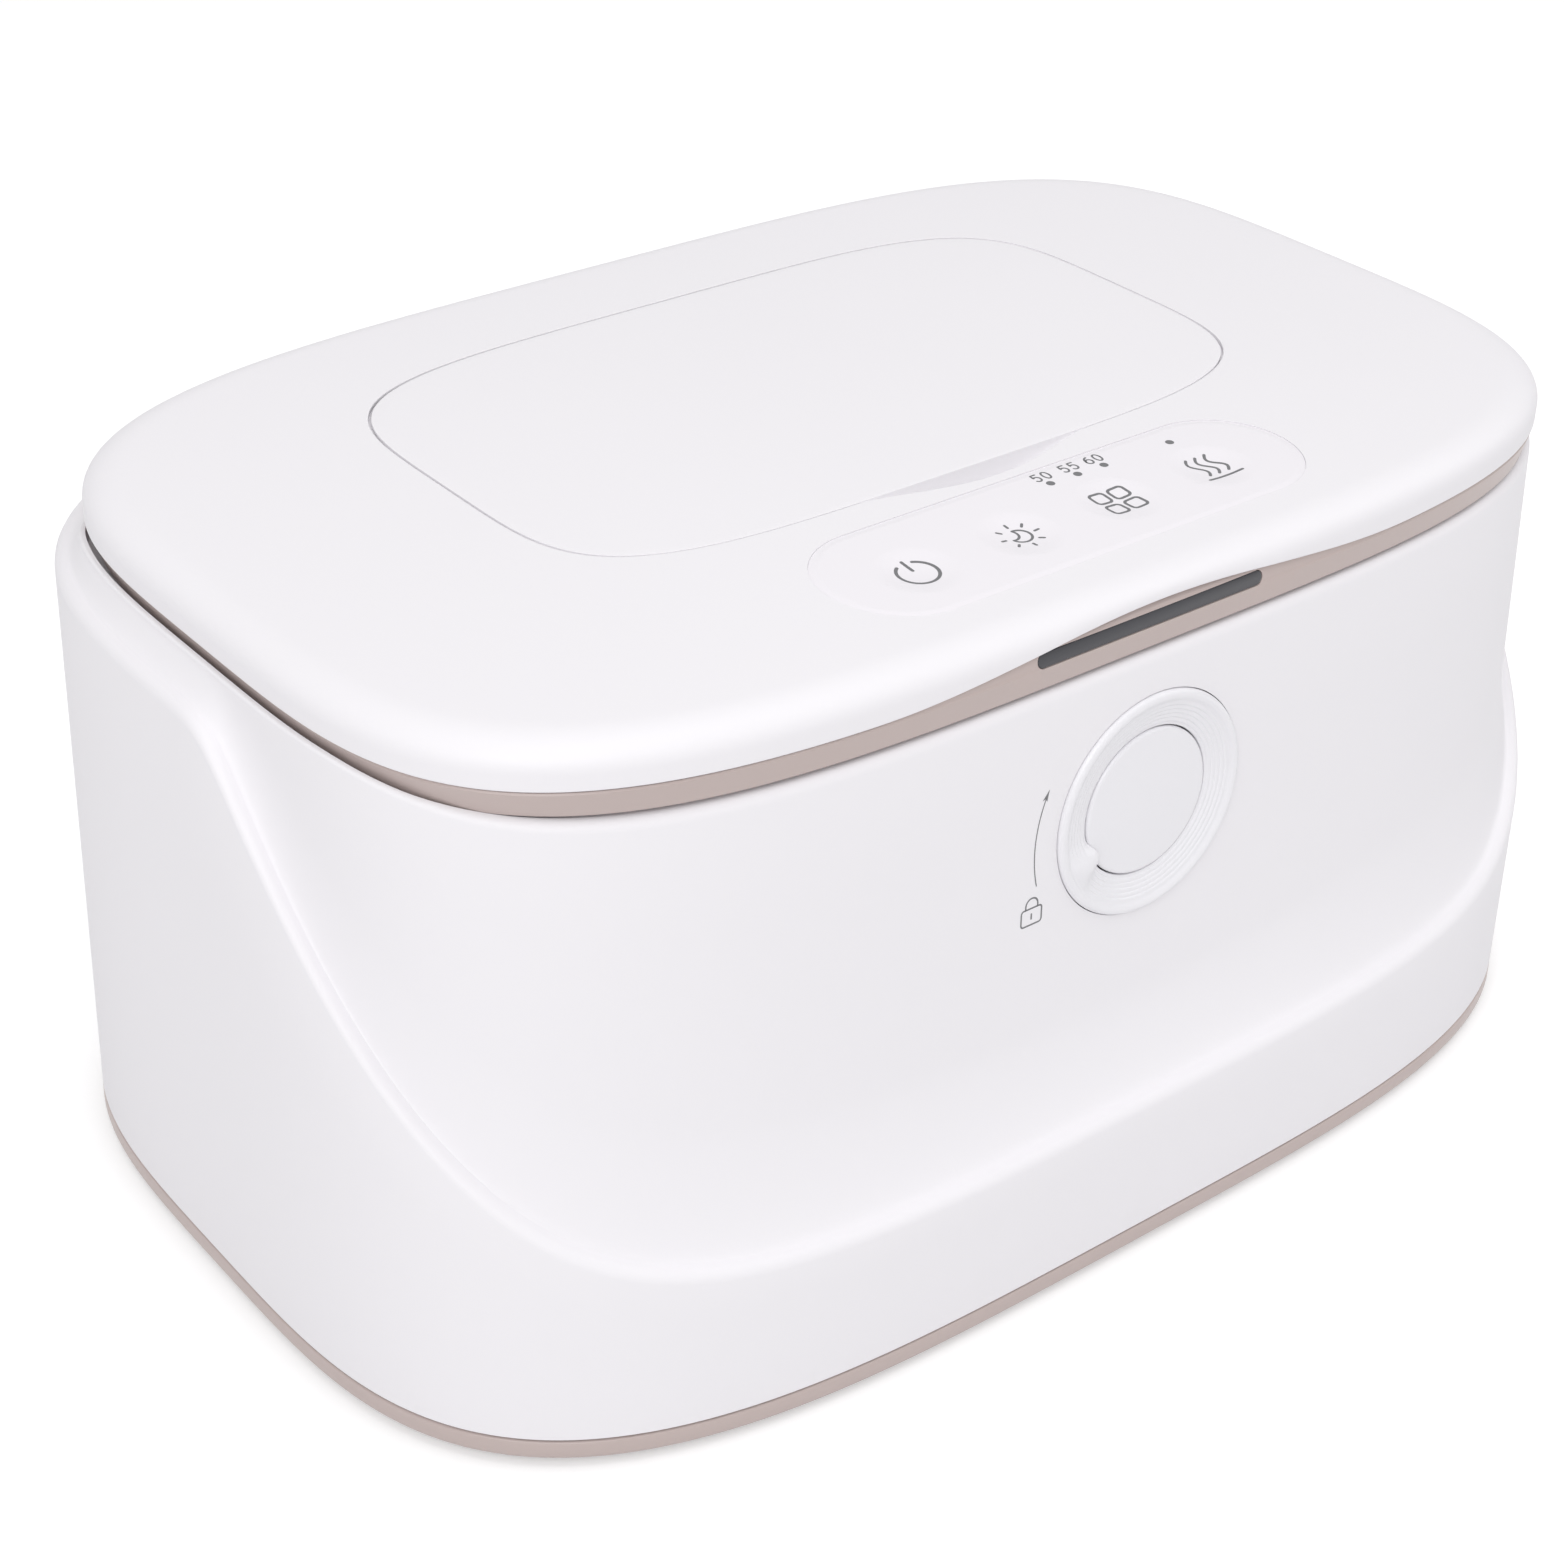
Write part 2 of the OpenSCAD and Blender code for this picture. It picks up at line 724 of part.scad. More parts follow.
module heater_clamp() {
  color("gainsboro")
    difference() {
      rounded(clamp_half, heater_r, clamp_z, pad_z);
      rounded(clamp_open, heater_r, clamp_z - 1, pad_z + 1);
      for (p = clamp_at)
        rod([p[0], p[1], clamp_z - 1], small_screw[2] + screw_free, 4);
    }
}

module clamp_screws() {
  color("silver")
    for (p = clamp_at)
      translate([p[0], p[1], 0])
        screw(small_screw, clamp_z, 5);
}

module temperature_sensor() {
  color("black")
    rod([sensor_at[0], sensor_at[1], pad_z], sensor_r, film_z - pad_z);
}

module thermal_fuse() {
  color("khaki")
    rod_x(fuse_at[0] - fuse_half, fuse_at[0] + fuse_half, fuse_at[1], film_z - fuse_r, fuse_r);
}

module control_board() {
  color("darkgreen")
    difference() {
      block([board_lo[0], board_lo[1], board_z], [board_hi[0], board_hi[1], board_top]);
      for (p = post_at)
        rod([p[0], p[1], board_z - 1], small_screw[2] + screw_free, 4);
    }
}

// Parts on the board: place of the corner from the board's own, and size
coil_at = [8, 10];
coil_size = [14, 14, 9];
chip_at = [28, 8];
chip_size = [12, 10, 2];
plug_at = [48, 6];
plug_size = [20, 5, 6];
cap_at = [[34, 28], [46, 28]];
cap_r = 4;
cap_h = 9;

module on_board(at) {
  translate([board_lo[0] + at[0], board_lo[1] + at[1], board_top])
    children();
}

module board_components() {
  color("dimgray") {
    on_board(coil_at)
      cube(coil_size);
    on_board(chip_at)
      cube(chip_size);
    on_board(plug_at)
      cube(plug_size);
    for (p = cap_at)
      on_board(p)
        cylinder(r = cap_r, h = cap_h);
  }
}

module board_screws() {
  color("silver")
    for (p = post_at)
      translate([p[0], p[1], board_top])
        mirror([0, 0, 1])
          screw(small_screw, 0, 6);
}

jack_body = 13.8;
jack_nose = 3;
jack_deep = 9.5;
jack_bore = 2.75;
jack_pin_r = 1;

module at_jack(back) {
  translate([jack_x, jack_face_y - back, jack_z])
    rotate([-90, 0, 0])
      children();
}

module dc_jack() {
  color("black")
    difference() {
      union() {
        block([jack_x - jack_half, jack_face_y - jack_nose + 0.8 - jack_body, board_top],
          [jack_x + jack_half, jack_face_y - jack_nose + 0.8, jack_z + jack_up]);
        at_jack(jack_nose)
          cylinder(r = jack_r, h = jack_nose);
      }
      at_jack(jack_deep)
        cylinder(r = jack_bore, h = jack_deep + 1);
    }
}

module dc_jack_pin() {
  color("silver")
    at_jack(jack_deep)
      cylinder(r = jack_pin_r, h = jack_deep - 1);
}

module ring_retainer() {
  color("whitesmoke")
    at_knob()
      difference() {
        union() {
          rod([0, 0, -clip_z], flange_r + 2.4, clip_t);
          for (g = [30, 150, 270])
            rotate([0, 0, g])
              rod([clip_ear_r, 0, -clip_z], clip_boss_r + 0.6, clip_t);
        }
        rod([0, 0, -clip_z - 1], button_r + 2.5, clip_t + 2);
        block([-hook_half - hook_slot[0], button_r, -clip_z - 1],
          [hook_half + hook_slot[0], flange_r + 3, -clip_z + clip_t + 1]);
        for (g = [30, 150, 270])
          rotate([0, 0, g])
            rod([clip_ear_r, 0, -clip_z - 1], small_screw[2] + screw_free, clip_t + 2);
      }
}

module retainer_screws() {
  color("silver")
    at_knob()
      for (g = [30, 150, 270])
        rotate([0, 0, g])
          translate([clip_ear_r, 0, 0])
            screw(small_screw, -clip_z, clip_screw_l);
}

module latch_guide() {
  color("lightgray")
    at_knob()
      difference() {
        union() {
          block([-guide_boss_x - guide_boss_r - 0.5, -guide_low, -guide_front - guide_t],
            [guide_boss_x + guide_boss_r + 0.5, guide_high, -guide_front]);
          for (s = [-1, 1])
            translate([s * (slider_half + run_gap + rail_t / 2) - rail_t / 2, 0, 0])
              block([0, -guide_low, -guide_front - 0.1], [rail_t, guide_high, -slider_front]);
          rod([0, 0, -guide_front - 0.1], peg_r, peg_h + 0.1);
        }
        for (s = [-1, 1])
          rod([s * guide_boss_x, guide_screw_y, -guide_front - guide_t - 1],
            small_screw[2] + screw_free, guide_t + 2);
      }
}

module guide_screws() {
  color("silver")
    at_knob()
      for (s = [-1, 1])
        translate([s * guide_boss_x, guide_screw_y, 0])
          screw(small_screw, -guide_front - guide_t, 7);
}

// One unbroken coil: 8 rings a curl, 6 sides
coil_z0 = -guide_front + spring_wire_r;
coil_z1 = -pocket_floor - spring_wire_r;
coil_rings = spring_curls * 8;
function coil_point(i) =
  let (t = i / coil_rings)
  let (a = 360 * spring_curls * t)
  [spring_mean_r * cos(a), spring_mean_r * sin(a), mix(coil_z0, coil_z1, t)];
coil_gap = (coil_z1 - coil_z0) / spring_curls - 2 * spring_wire_r;
echo(least_gap_of_button_spring = coil_gap);

module button_spring() {
  color("silver")
    at_knob()
      capped([for (j = [5 : -1 : 0])
        [for (i = [0 : coil_rings])
          let (c = coil_point(i), g = 360 * spring_curls * i / coil_rings,
            u = [cos(g), sin(g), 0] * cos(60 * j) * spring_wire_r,
            v = [0, 0, 1] * sin(60 * j) * spring_wire_r)
          c + u + v]]);
}

module lid_hinge_pins() {
  color("silver")
    for (s = [-1, 1])
      rod_x(s * hinge_x - knuckle_half - lug_gap - lug_w, s * hinge_x + knuckle_half + lug_gap + lug_w,
        hinge_y, hinge_z, pin_r);
}

// Dished ring with fine steps: radius inside the rim and height of each step
step_in = [1.3, 2.3, 3.5, 4.7];
step_z = [0.35, 0.1, -0.15, -0.4];
step_edge = 0.2;

// Rounded pointer of the ring; it reaches in over the edge of the button
module pointer() {
  ball = (pointer_r * pointer_r + pointer_h * pointer_h) / (2 * pointer_h);
  rotate([0, 0, pointer_angle])
    intersection() {
      rod([pointer_at, 0, -pointer_deep], pointer_r, pointer_h + pointer_deep + 1);
      translate([pointer_at, 0, pointer_h - ball])
        sphere(r = ball, $fn = 96);
    }
}

module lock_ring() {
  color("whitesmoke")
    at_knob() {
      rotate_extrude($fn = 96)
        polygon(concat(
          [[button_r + run_gap, -flange_back], [flange_r, -flange_back], [flange_r, -ring_back],
            [ring_r, -ring_back], [ring_r, ring_lip - 0.4], [ring_r - 0.12, ring_lip - 0.12],
            [ring_r - 0.4, ring_lip], [ring_r - 0.9, ring_lip]],
          [for (k = [0 : 3]) each
            [[ring_r - step_in[k], step_z[k]], [ring_r - step_in[k] - 1, step_z[k] - 0.05]]],
          [[button_r + run_gap, step_z[3] - step_edge]]));
      pointer();
    }
}

// The button's edge is cut back where the pointer travels
module open_button() {
  color("white")
    at_knob()
      difference() {
        rotate_extrude($fn = 96)
          polygon([
            [small_screw[2] + pin_clear, -slider_front], [stem_r, -slider_front], [stem_r, -button_top_t],
            [button_r - 2, -button_top_t], [button_r - 2, -button_skirt], [button_r, -button_skirt],
            [button_r, -0.8], [button_r - 0.12, -0.45], [button_r - 0.45, -0.2],
            [button_r * 0.66, -0.02], [button_r * 0.33, 0.08], [0, 0.1], [0, -button_bore],
            [small_screw[2] + pin_clear, -button_bore]
          ]);
        rotate([0, 0, pointer_angle - pointer_turn - pointer_side])
          rotate_extrude(angle = pointer_turn + 2 * pointer_side, $fn = 96)
            translate([pointer_at - pointer_r - run_gap, -pointer_deep - run_gap])
              square([2, 2]);
      }
}
pointer_side = 10;

module latch_slider() {
  color("silver")
    at_knob()
      difference() {
        union() {
          block([-slider_half, -slider_low, -slider_front - slider_t],
            [slider_half, catch_low + 0.1, -slider_front]);
          block([-hook_half + 1, catch_low, -slider_front - slider_t - 0.5],
            [hook_half - 1, catch_low + catch_h, -slider_front]);
        }
        rod([0, 0, -slider_front - slider_t - 1], pocket_r, slider_front + slider_t + 1 - pocket_floor);
        rod([0, 0, -slider_front - slider_t - 1], small_screw[2] + pin_clear, slider_t + 2);
      }
}

module slider_screw() {
  color("silver")
    at_knob()
      screw(small_screw, -pocket_floor, 5);
}

lid_corner = 2.8;
well_wall = 2;
liner_boss_r = 3;
liner_screw_l = 5.5;

function lid_profile(ang) =
  let (e = edge_z + scoop(ang), s = max(spring_z, e + 0.3),
    shoulder = on_lid(lid(ang, lid_round)), h = shoulder[2] - s,
    well = door(ang, -door_gap), out = door(ang, -door_gap - well_wall),
    inner = on_lid(lid(ang, lid_t + lid_corner)))
  [
    lift(lid(ang), e),
    lift(lid(ang), s),
    lift(lid(ang, lid_round * (1 - cos(35))), s + h * sin(35)),
    lift(lid(ang, lid_round * (1 - cos(65))), s + h * sin(65)),
    shoulder,
    on_lid(mix(lid(ang, lid_round), well, 0.5)),
    on_lid(well),
    lift(well, well_z),
    lift(gasket(ang), well_z),
    lift(gasket(ang), well_z - well_t),
    lift(out, well_z - well_t),
    on_lid(out) - [0, 0, lid_t],
    inner - [0, 0, lid_t],
    lift(lid(ang, lid_t), s),
    lift(lid(ang, lid_t), e)
  ];

module lid_shell() {
  color("white")
    difference() {
      union() {
        skin([for (i = [0 : cols - 1]) lid_profile(column(i, cols))]);
        for (s = [-1, 1]) {
          rod_x(s * hinge_x - knuckle_half, s * hinge_x + knuckle_half, hinge_y, hinge_z, barrel_r);
          block([s * hinge_x - knuckle_half, lid_y + lid_b - lid_t + 0.2, hinge_z],
            [s * hinge_x + knuckle_half, hinge_y, edge_z + 1]);
        }
        for (p = liner_at)
          rod([p[0], p[1], gasket_z], liner_boss_r, lid_top(p[0], p[1]) - lid_t / 2 - gasket_z);
        for (p = touch_at)
          rod([p[0], p[1], touch_z + touch_t], touch_boss_r,
            lid_top(p[0], p[1]) - lid_t / 2 - touch_z - touch_t);
        arm_bosses();
      }
      hinge_bores();
      lug_space();
      for (p = liner_at)
        rod([p[0], p[1], gasket_z - 1], small_screw[2] + pin_clear, liner_screw_l);
      for (p = touch_at)
        rod([p[0], p[1], touch_z], small_screw[2] + pin_clear, 3);
      finger_recess();
      at_panel() {
        slot(0, 0, panel_w + 2 * panel_free, panel_h + 2 * panel_free, -panel_t - 0.05, 3);
        for (k = [0 : 3])
          translate([dish_first + k * dish_pitch - panel_x, -dish_drop, 0])
            rod([0, 0, -lid_t - 2], 1.2, 3);
      }
      for (x = led_x)
        rod([x, led_y, well_z], led_r + pin_clear, 8);
      arm_space();
    }
}

// Space that the housing lugs need as the lid turns around them
module lug_space() {
  for (s = [-1, 1], t = [-1, 1])
    translate([s * hinge_x + t * (knuckle_half + lug_gap / 2 + lug_w / 2 + 0.25) - lug_w / 2 - 0.4, 0, 0])
      rod_x(0, lug_w + 0.8, hinge_y, hinge_z, barrel_r + hinge_free);
}

// Bosses for the door pins, behind the rear wall of the door well
module arm_bosses() {
  for (s = [-1, 1], t = [-1, 1])
    translate([s * arm_x + t * (arm_half + arm_clear + arm_boss_w / 2) - arm_boss_w / 2, 0, 0])
      block([0, arm_y - arm_boss_y + 0.4, arm_z - arm_boss_low],
        [arm_boss_w, arm_y + arm_boss_y, lid_top(0, arm_y) - arm_boss_skin]);
}

// Pockets that the door arms turn in, under the skin of the lid, and the bores of their pins
module arm_space() {
  for (s = [-1, 1]) {
    block([s * arm_x - arm_half - arm_clear, arm_y - arm_swing, arm_z - arm_low - arm_clear],
      [s * arm_x + arm_half + arm_clear, arm_y + arm_eye_r + arm_clear, arm_z + arm_eye_r + arm_clear]);
    rod_x(s * arm_x - arm_pin_half - 1, s * arm_x + arm_pin_half + 1, arm_y, arm_z, door_pin_r + pin_clear);
  }
}
arm_pin_half = arm_half + arm_clear + arm_boss_w;

recess_w = 41;
recess_d = 4.2;
recess_x = 0.5;
recess_deep = 2;
recess_r = (recess_w * recess_w / 4 + recess_d * recess_d) / (2 * recess_d);
recess_front = door_y - door_b - recess_d;

module finger_recess() {
  intersection() {
    rod([recess_x, recess_front + recess_r, lid_z - recess_deep], recess_r, recess_deep + 3);
    block([-recess_w, recess_front - 1, lid_z - recess_deep - 1], [recess_w, door_y - door_b, lid_z + 3]);
  }
}

// Coloured frame of the lid, raised over the window
function frame_profile(ang) =
  let (s = scoop(ang), lean = frame_lean,
    bottom = function (d) rim_point(frame_a - lean[0] - d, frame_b - lean[1] - d, upper_n, upper_y, ang),
    top = function (d) rim_point(frame_a - d, frame_b - d, upper_n, upper_y, ang))
  [
    lift(bottom(0.4), frame_z),
    lift(bottom(0), frame_z + 0.4),
    lift(top(0.1), frame_top - 0.3),
    lift(top(0.3 + 0.2 * s), frame_top + s),
    lift(top(frame_t), frame_top + s),
    lift(bottom(frame_t), frame_z)
  ];

window_y = upper_y - frame_b + 0.7;
window_t = 1.7;
window_up = 0.8;
window_margin = 4;
window_seat = 0.6;

module window_shape(w, h, y0, y1) {
  translate([0, y0, frame_top + window_up])
    rotate([-90, 0, 0])
      slot(0, 0, w, h, 0, y1 - y0);
}

module lid_frame() {
  color("tan")
    difference() {
      skin([for (i = [0 : cols - 1]) frame_profile(column(i, cols))]);
      for (s = [-1, 1]) {
        block([s * hinge_x - knuckle_half - part_gap, lid_y + lid_b - lid_t + 0.05, hinge_z - part_gap],
          [s * hinge_x + knuckle_half + part_gap, hinge_y + 4, edge_z + 4]);
        rod_x(s * hinge_x - knuckle_half - 0.5, s * hinge_x + knuckle_half + 0.5, hinge_y, hinge_z,
          barrel_r + part_gap);
      }
      lug_space();
      window_shape(window_w + 0.2, window_h + 0.2, window_y - 4, window_y + window_t);
      window_shape(window_w - 2 * window_margin, window_h - 2 * window_seat,
        window_y, window_y + window_t + 4);
    }
}

liner_a = frame_a - frame_lean[0] - frame_t - 0.6;
liner_b = frame_b - frame_lean[1] - frame_t - 0.8;
plug_in = 5;
plug_h = 3.4;
rib_out = 4.4;
band_t = 1.6;

module tank_band(out, z0, z1, t) {
  band(tank_w / 2 + out, tank_d / 2 + out, tank_n, tank_y, z0, z1, t, 48);
}

module lid_liner() {
  color("whitesmoke")
    difference() {
      union() {
        plate(liner_a, liner_b, upper_n, upper_y, liner_z, gasket_z, 48);
        tank_band(-plug_in, liner_z - plug_h, liner_z + 0.1, band_t);
        tank_band(rib_out, liner_z - 1, liner_z + 0.1, band_t);
        for (s = [-1, 1])
          rod([s * hook_screw_x, hook_y + hook_screw_in, gasket_z - 0.1], 2.4, 2.6);
      }
      plate(gasket_half[0], gasket_half[1], gasket_n, door_y, liner_z - 1, gasket_z + 1, 48);
      for (p = liner_at)
        rod([p[0], p[1], liner_z - 1], small_screw[2] + screw_free, 4);
      for (s = [-1, 1])
        rod([s * hook_screw_x, hook_y + hook_screw_in, liner_z - 1], small_screw[2] + pin_clear, 4.4);
    }
}

module liner_screws() {
  color("silver")
    for (p = liner_at)
      translate([p[0], p[1], 0])
        screw(small_screw, liner_z, liner_screw_l);
}

seal_out = 2.6;
seal_w = 3.2;

module lid_seal() {
  color("lightgray")
    tank_band(seal_out, deck_z + lip_t + run_gap, liner_z, seal_w);
}

module indicator_window() {
  color("dimgray")
    window_shape(window_w, window_h, window_y, window_y + window_t);
}

indicator_half = window_w / 2 + 3.25;
indicator_t = 1;

module indicator_board() {
  color("darkgreen")
    block([-indicator_half, window_y + 3.2, gasket_z + part_gap],
      [indicator_half, window_y + 3.2 + indicator_t, frame_top + 3.2]);
}

touch_z = well_z + run_gap;
touch_t = 1;
touch_half = [panel_w / 2 - 1, panel_h / 2 - 1.1];
touch_screw_in = [4, 3.5];
touch_boss_r = 2.2;
touch_y = panel_y + 0.2;
touch_at = [for (s = [1, -1], t = [1, -1])
  [panel_x + s * (touch_half[0] - touch_screw_in[0]), touch_y + t * (touch_half[1] - touch_screw_in[1])]];
pad_r = 4.5;

module touch_board() {
  color("darkgreen")
    difference() {
      block([panel_x - touch_half[0], touch_y - touch_half[1], touch_z],
        [panel_x + touch_half[0], touch_y + touch_half[1], touch_z + touch_t]);
      for (p = touch_at)
        rod([p[0], p[1], touch_z - 1], small_screw[2] + screw_free, 4);
    }
}

module touch_board_screws() {
  color("silver")
    for (p = touch_at)
      translate([p[0], p[1], 0])
        screw([1.8, 0.9, small_screw[2]], touch_z, 3);
}

module touch_pads() {
  color("gold")
    for (k = [0 : 3])
      rod([dish_first + k * dish_pitch, panel_y - dish_drop, touch_z + touch_t], pad_r,
        lid_top(panel_w / 3, panel_y - pad_r) - lid_t - run_gap - touch_z - touch_t - 0.1);
}

module light_guides() {
  color("white")
    for (x = led_x)
      rod([x, led_y, touch_z + touch_t], led_r, lid_top(x, led_y) - 0.1 - touch_z - touch_t);
}

module control_panel() {
  color("gainsboro")
    difference() {
      at_panel()
        difference() {
          slot(0, 0, panel_w, panel_h, -panel_t - 0.05, -0.05);
          for (k = [0 : 3])
            translate([dish_first + k * dish_pitch - panel_x, -dish_drop, 0])
              translate([0, 0, dish_ball - dish_deep - 0.05])
                sphere(r = dish_ball, $fn = 96);
        }
      for (x = led_x)
        rod([x, led_y, well_z], led_r + pin_clear, 8);
    }
}

module latch_hook() {
  color("silver")
    difference() {
      union() {
        block([-hook_foot[0], hook_y, liner_z - hook_foot[2]],
          [hook_foot[0], hook_y + hook_foot[1], liner_z]);
        block([-hook_half, hook_y, hook_low], [hook_half, hook_y + hook_t, liner_z - hook_foot[2] + 0.1]);
        translate([-hook_half, hook_y + hook_t - 0.01, hook_low])
          rotate([90, 0, 90])
            linear_extrude(2 * hook_half)
              polygon([[0, 0], [nose_reach, nose_h - nose_root], [nose_reach, nose_h], [0, nose_h]]);
      }
      for (s = [-1, 1])
        rod([s * hook_screw_x, hook_y + hook_screw_in, liner_z - 3], small_screw[2] + screw_free, 4);
    }
}

module hook_screws() {
  color("silver")
    for (s = [-1, 1])
      translate([s * hook_screw_x, hook_y + hook_screw_in, 0])
        screw([1.8, 0.7, small_screw[2]], liner_z - hook_foot[2], 4.6);
}

// Soft sheet with the slot that the wipes are drawn through
module dispenser_gasket() {
  color("lightsteelblue")
    difference() {
      union() {
        plate(gasket_half[0] + 4, gasket_half[1] + 4, gasket_n, door_y, gasket_z, gasket_z + gasket_t, 48);
        slot(0, door_y, slot_w + 5, slot_d + 5, gasket_z + 0.1, gasket_z + gasket_t + 1.2);
      }
      slot(0, door_y, slot_w, slot_d, gasket_z - 1, gasket_z + 5);
    }
}

module gasket_ring() {
  color("whitesmoke")
    band(gasket_half[0] - 0.2, gasket_half[1] - 0.2, gasket_n, door_y,
      gasket_z + gasket_t, well_z + 0.4, seal_w, 48);
}

module door_pins() {
  color("silver")
    for (s = [-1, 1])
      rod_x(s * arm_x - arm_pin_half, s * arm_x + arm_pin_half, arm_y, arm_z, door_pin_r);
}

function door_profile(ang) =
  [
    lift(door(ang, door_rib[1]), door_under),
    lift(door(ang, door_rib[1]), door_under - door_rib[2]),
    lift(door(ang, door_rib[0]), door_under - door_rib[2]),
    lift(door(ang, door_rib[0]), door_under),
    lift(door(ang, door_taper), door_under),
    on_lid(door(ang)) - [0, 0, door_edge],
    on_lid(door(ang, door_edge)),
    on_lid(mix(door(ang), [0, door_y], 0.4)),
    on_lid(mix(door(ang), [0, door_y], 0.85))
  ];

module door_panel() {
  color("white")
    difference() {
      union() {
        capped([for (i = [0 : cols - 1]) door_profile(column(i, cols))]);
        for (s = [-1, 1])
          translate([s * arm_x, arm_y, arm_z])
            door_arm();
      }
      for (s = [-1, 1])
        rod_x(s * arm_x - arm_half - 1, s * arm_x + arm_half + 1, arm_y, arm_z, door_pin_r + pin_clear);
    }
}

// Arm from the eye on its pin, down and forward under the lid's edge, up to the door
module door_arm() {
  rod_x(-arm_half, arm_half, 0, 0, arm_eye_r);
  block([-arm_half, -arm_t / 2, -arm_low], [arm_half, arm_t / 2, 0]);
  block([-arm_half, -arm_reach, -arm_low], [arm_half, arm_t / 2, arm_t - arm_low]);
  block([-arm_half, -arm_reach, -arm_low], [arm_half, arm_t - arm_reach, door_under - arm_z + 0.2]);
}

module door_seal() {
  color("lightsteelblue")
    band(gasket_half[0] + 6, gasket_half[1] + 6, gasket_n, door_y, well_z + run_gap, door_under, 2, 48);
}

outer_housing();
base_plate();
rubber_feet();
base_screws();
wipes_tank();
heating_plate();
heating_film();
insulation_pad();
heater_clamp();
clamp_screws();
temperature_sensor();
thermal_fuse();
control_board();
board_components();
board_screws();
dc_jack();
dc_jack_pin();
ring_retainer();
retainer_screws();
latch_guide();
guide_screws();
button_spring();
lid_hinge_pins();
lock_ring();
open_button();
latch_slider();
slider_screw();
lid_shell();
lid_frame();
lid_liner();
liner_screws();
lid_seal();
indicator_window();
indicator_board();
touch_board();
touch_board_screws();
touch_pads();
light_guides();
control_panel();
latch_hook();
hook_screws();
dispenser_gasket();
gasket_ring();
door_pins();
door_panel();
door_seal();
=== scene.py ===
"""Baby wipe warmer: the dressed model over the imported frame.

The moulded skins are rebuilt finely from the same outlines as the solids, the small prints are laid on
them as thin strokes, and every other node of the frame keeps its mesh and gets a finish of its own.
All sizes are in millimetres in the frame of the part: +X right, -Y front, +Z up, z = 0 on the table.
"""

import json
import logging
import math
from dataclasses import dataclass, field
from enum import Enum
from typing import Callable, Optional, Sequence

import bmesh
import bpy
import numpy as np
from mathutils import Matrix, Vector


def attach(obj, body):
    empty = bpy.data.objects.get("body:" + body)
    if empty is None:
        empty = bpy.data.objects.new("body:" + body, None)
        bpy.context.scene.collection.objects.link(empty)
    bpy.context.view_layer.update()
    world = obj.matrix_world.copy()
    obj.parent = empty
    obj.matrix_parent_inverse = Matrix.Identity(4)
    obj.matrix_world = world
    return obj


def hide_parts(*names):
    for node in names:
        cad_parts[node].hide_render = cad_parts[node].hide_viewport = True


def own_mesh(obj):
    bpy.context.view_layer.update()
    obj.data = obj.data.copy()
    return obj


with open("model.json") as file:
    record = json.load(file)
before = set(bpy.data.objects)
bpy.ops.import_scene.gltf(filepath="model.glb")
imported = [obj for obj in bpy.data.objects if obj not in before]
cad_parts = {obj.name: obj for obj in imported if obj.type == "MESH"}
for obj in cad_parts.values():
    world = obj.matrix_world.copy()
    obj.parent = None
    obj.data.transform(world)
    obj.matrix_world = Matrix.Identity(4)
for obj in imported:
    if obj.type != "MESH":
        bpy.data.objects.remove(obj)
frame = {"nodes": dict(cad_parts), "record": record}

LOG = logging.getLogger("wipe_warmer")
MM = 0.001


# Finishes


class Grain(Enum):
    """How the surface of a finish is textured."""

    SATIN = "satin"
    SMOOTH = "smooth"
    RUBBER = "rubber"
    BRUSHED = "brushed"
    FELT = "felt"
    PRINT = "print"


@dataclass(frozen=True)
class Finish:
    """One finish: its record slot, colour and surface values."""

    slot: str
    colour: tuple[float, float, float]
    roughness: float
    grain: Grain = Grain.SATIN
    grain_size: float = 900.0
    relief: float = 0.02
    mottle: float = 0.02
    metallic: float = 0.0
    coat: float = 0.0
    clear: float = 0.0
    glow: float = 0.0
    specular: float = 0.5
    subsurface: float = 0.0

    def material(self) -> bpy.types.Material:
        """Make this finish as a node material, once, and return it."""
        name = f"finish_{self.slot}"
        made = bpy.data.materials.get(name)
        if made is not None:
            return made
        return FinishBuilder(self, name).build()


def new_group(name: str, inputs: Sequence[tuple], outputs: Sequence[tuple]) -> bpy.types.NodeTree:
    """Make an empty shader node group with named sockets.

    Args:
        name: Name of the group.
        inputs: (socket name, socket type, default) for each input.
        outputs: (socket name, socket type) for each output.

    Returns:
        The node tree, with its input node named "in" and its output node named "out".
    """
    tree = bpy.data.node_groups.new(name, "ShaderNodeTree")
    for label, kind, default in inputs:
        socket = tree.interface.new_socket(label, in_out="INPUT", socket_type=kind)
        if default is not None:
            socket.default_value = default
    for label, kind in outputs:
        tree.interface.new_socket(label, in_out="OUTPUT", socket_type=kind)
    tree.nodes.new("NodeGroupInput").name = "in"
    tree.nodes.new("NodeGroupOutput").name = "out"
    return tree


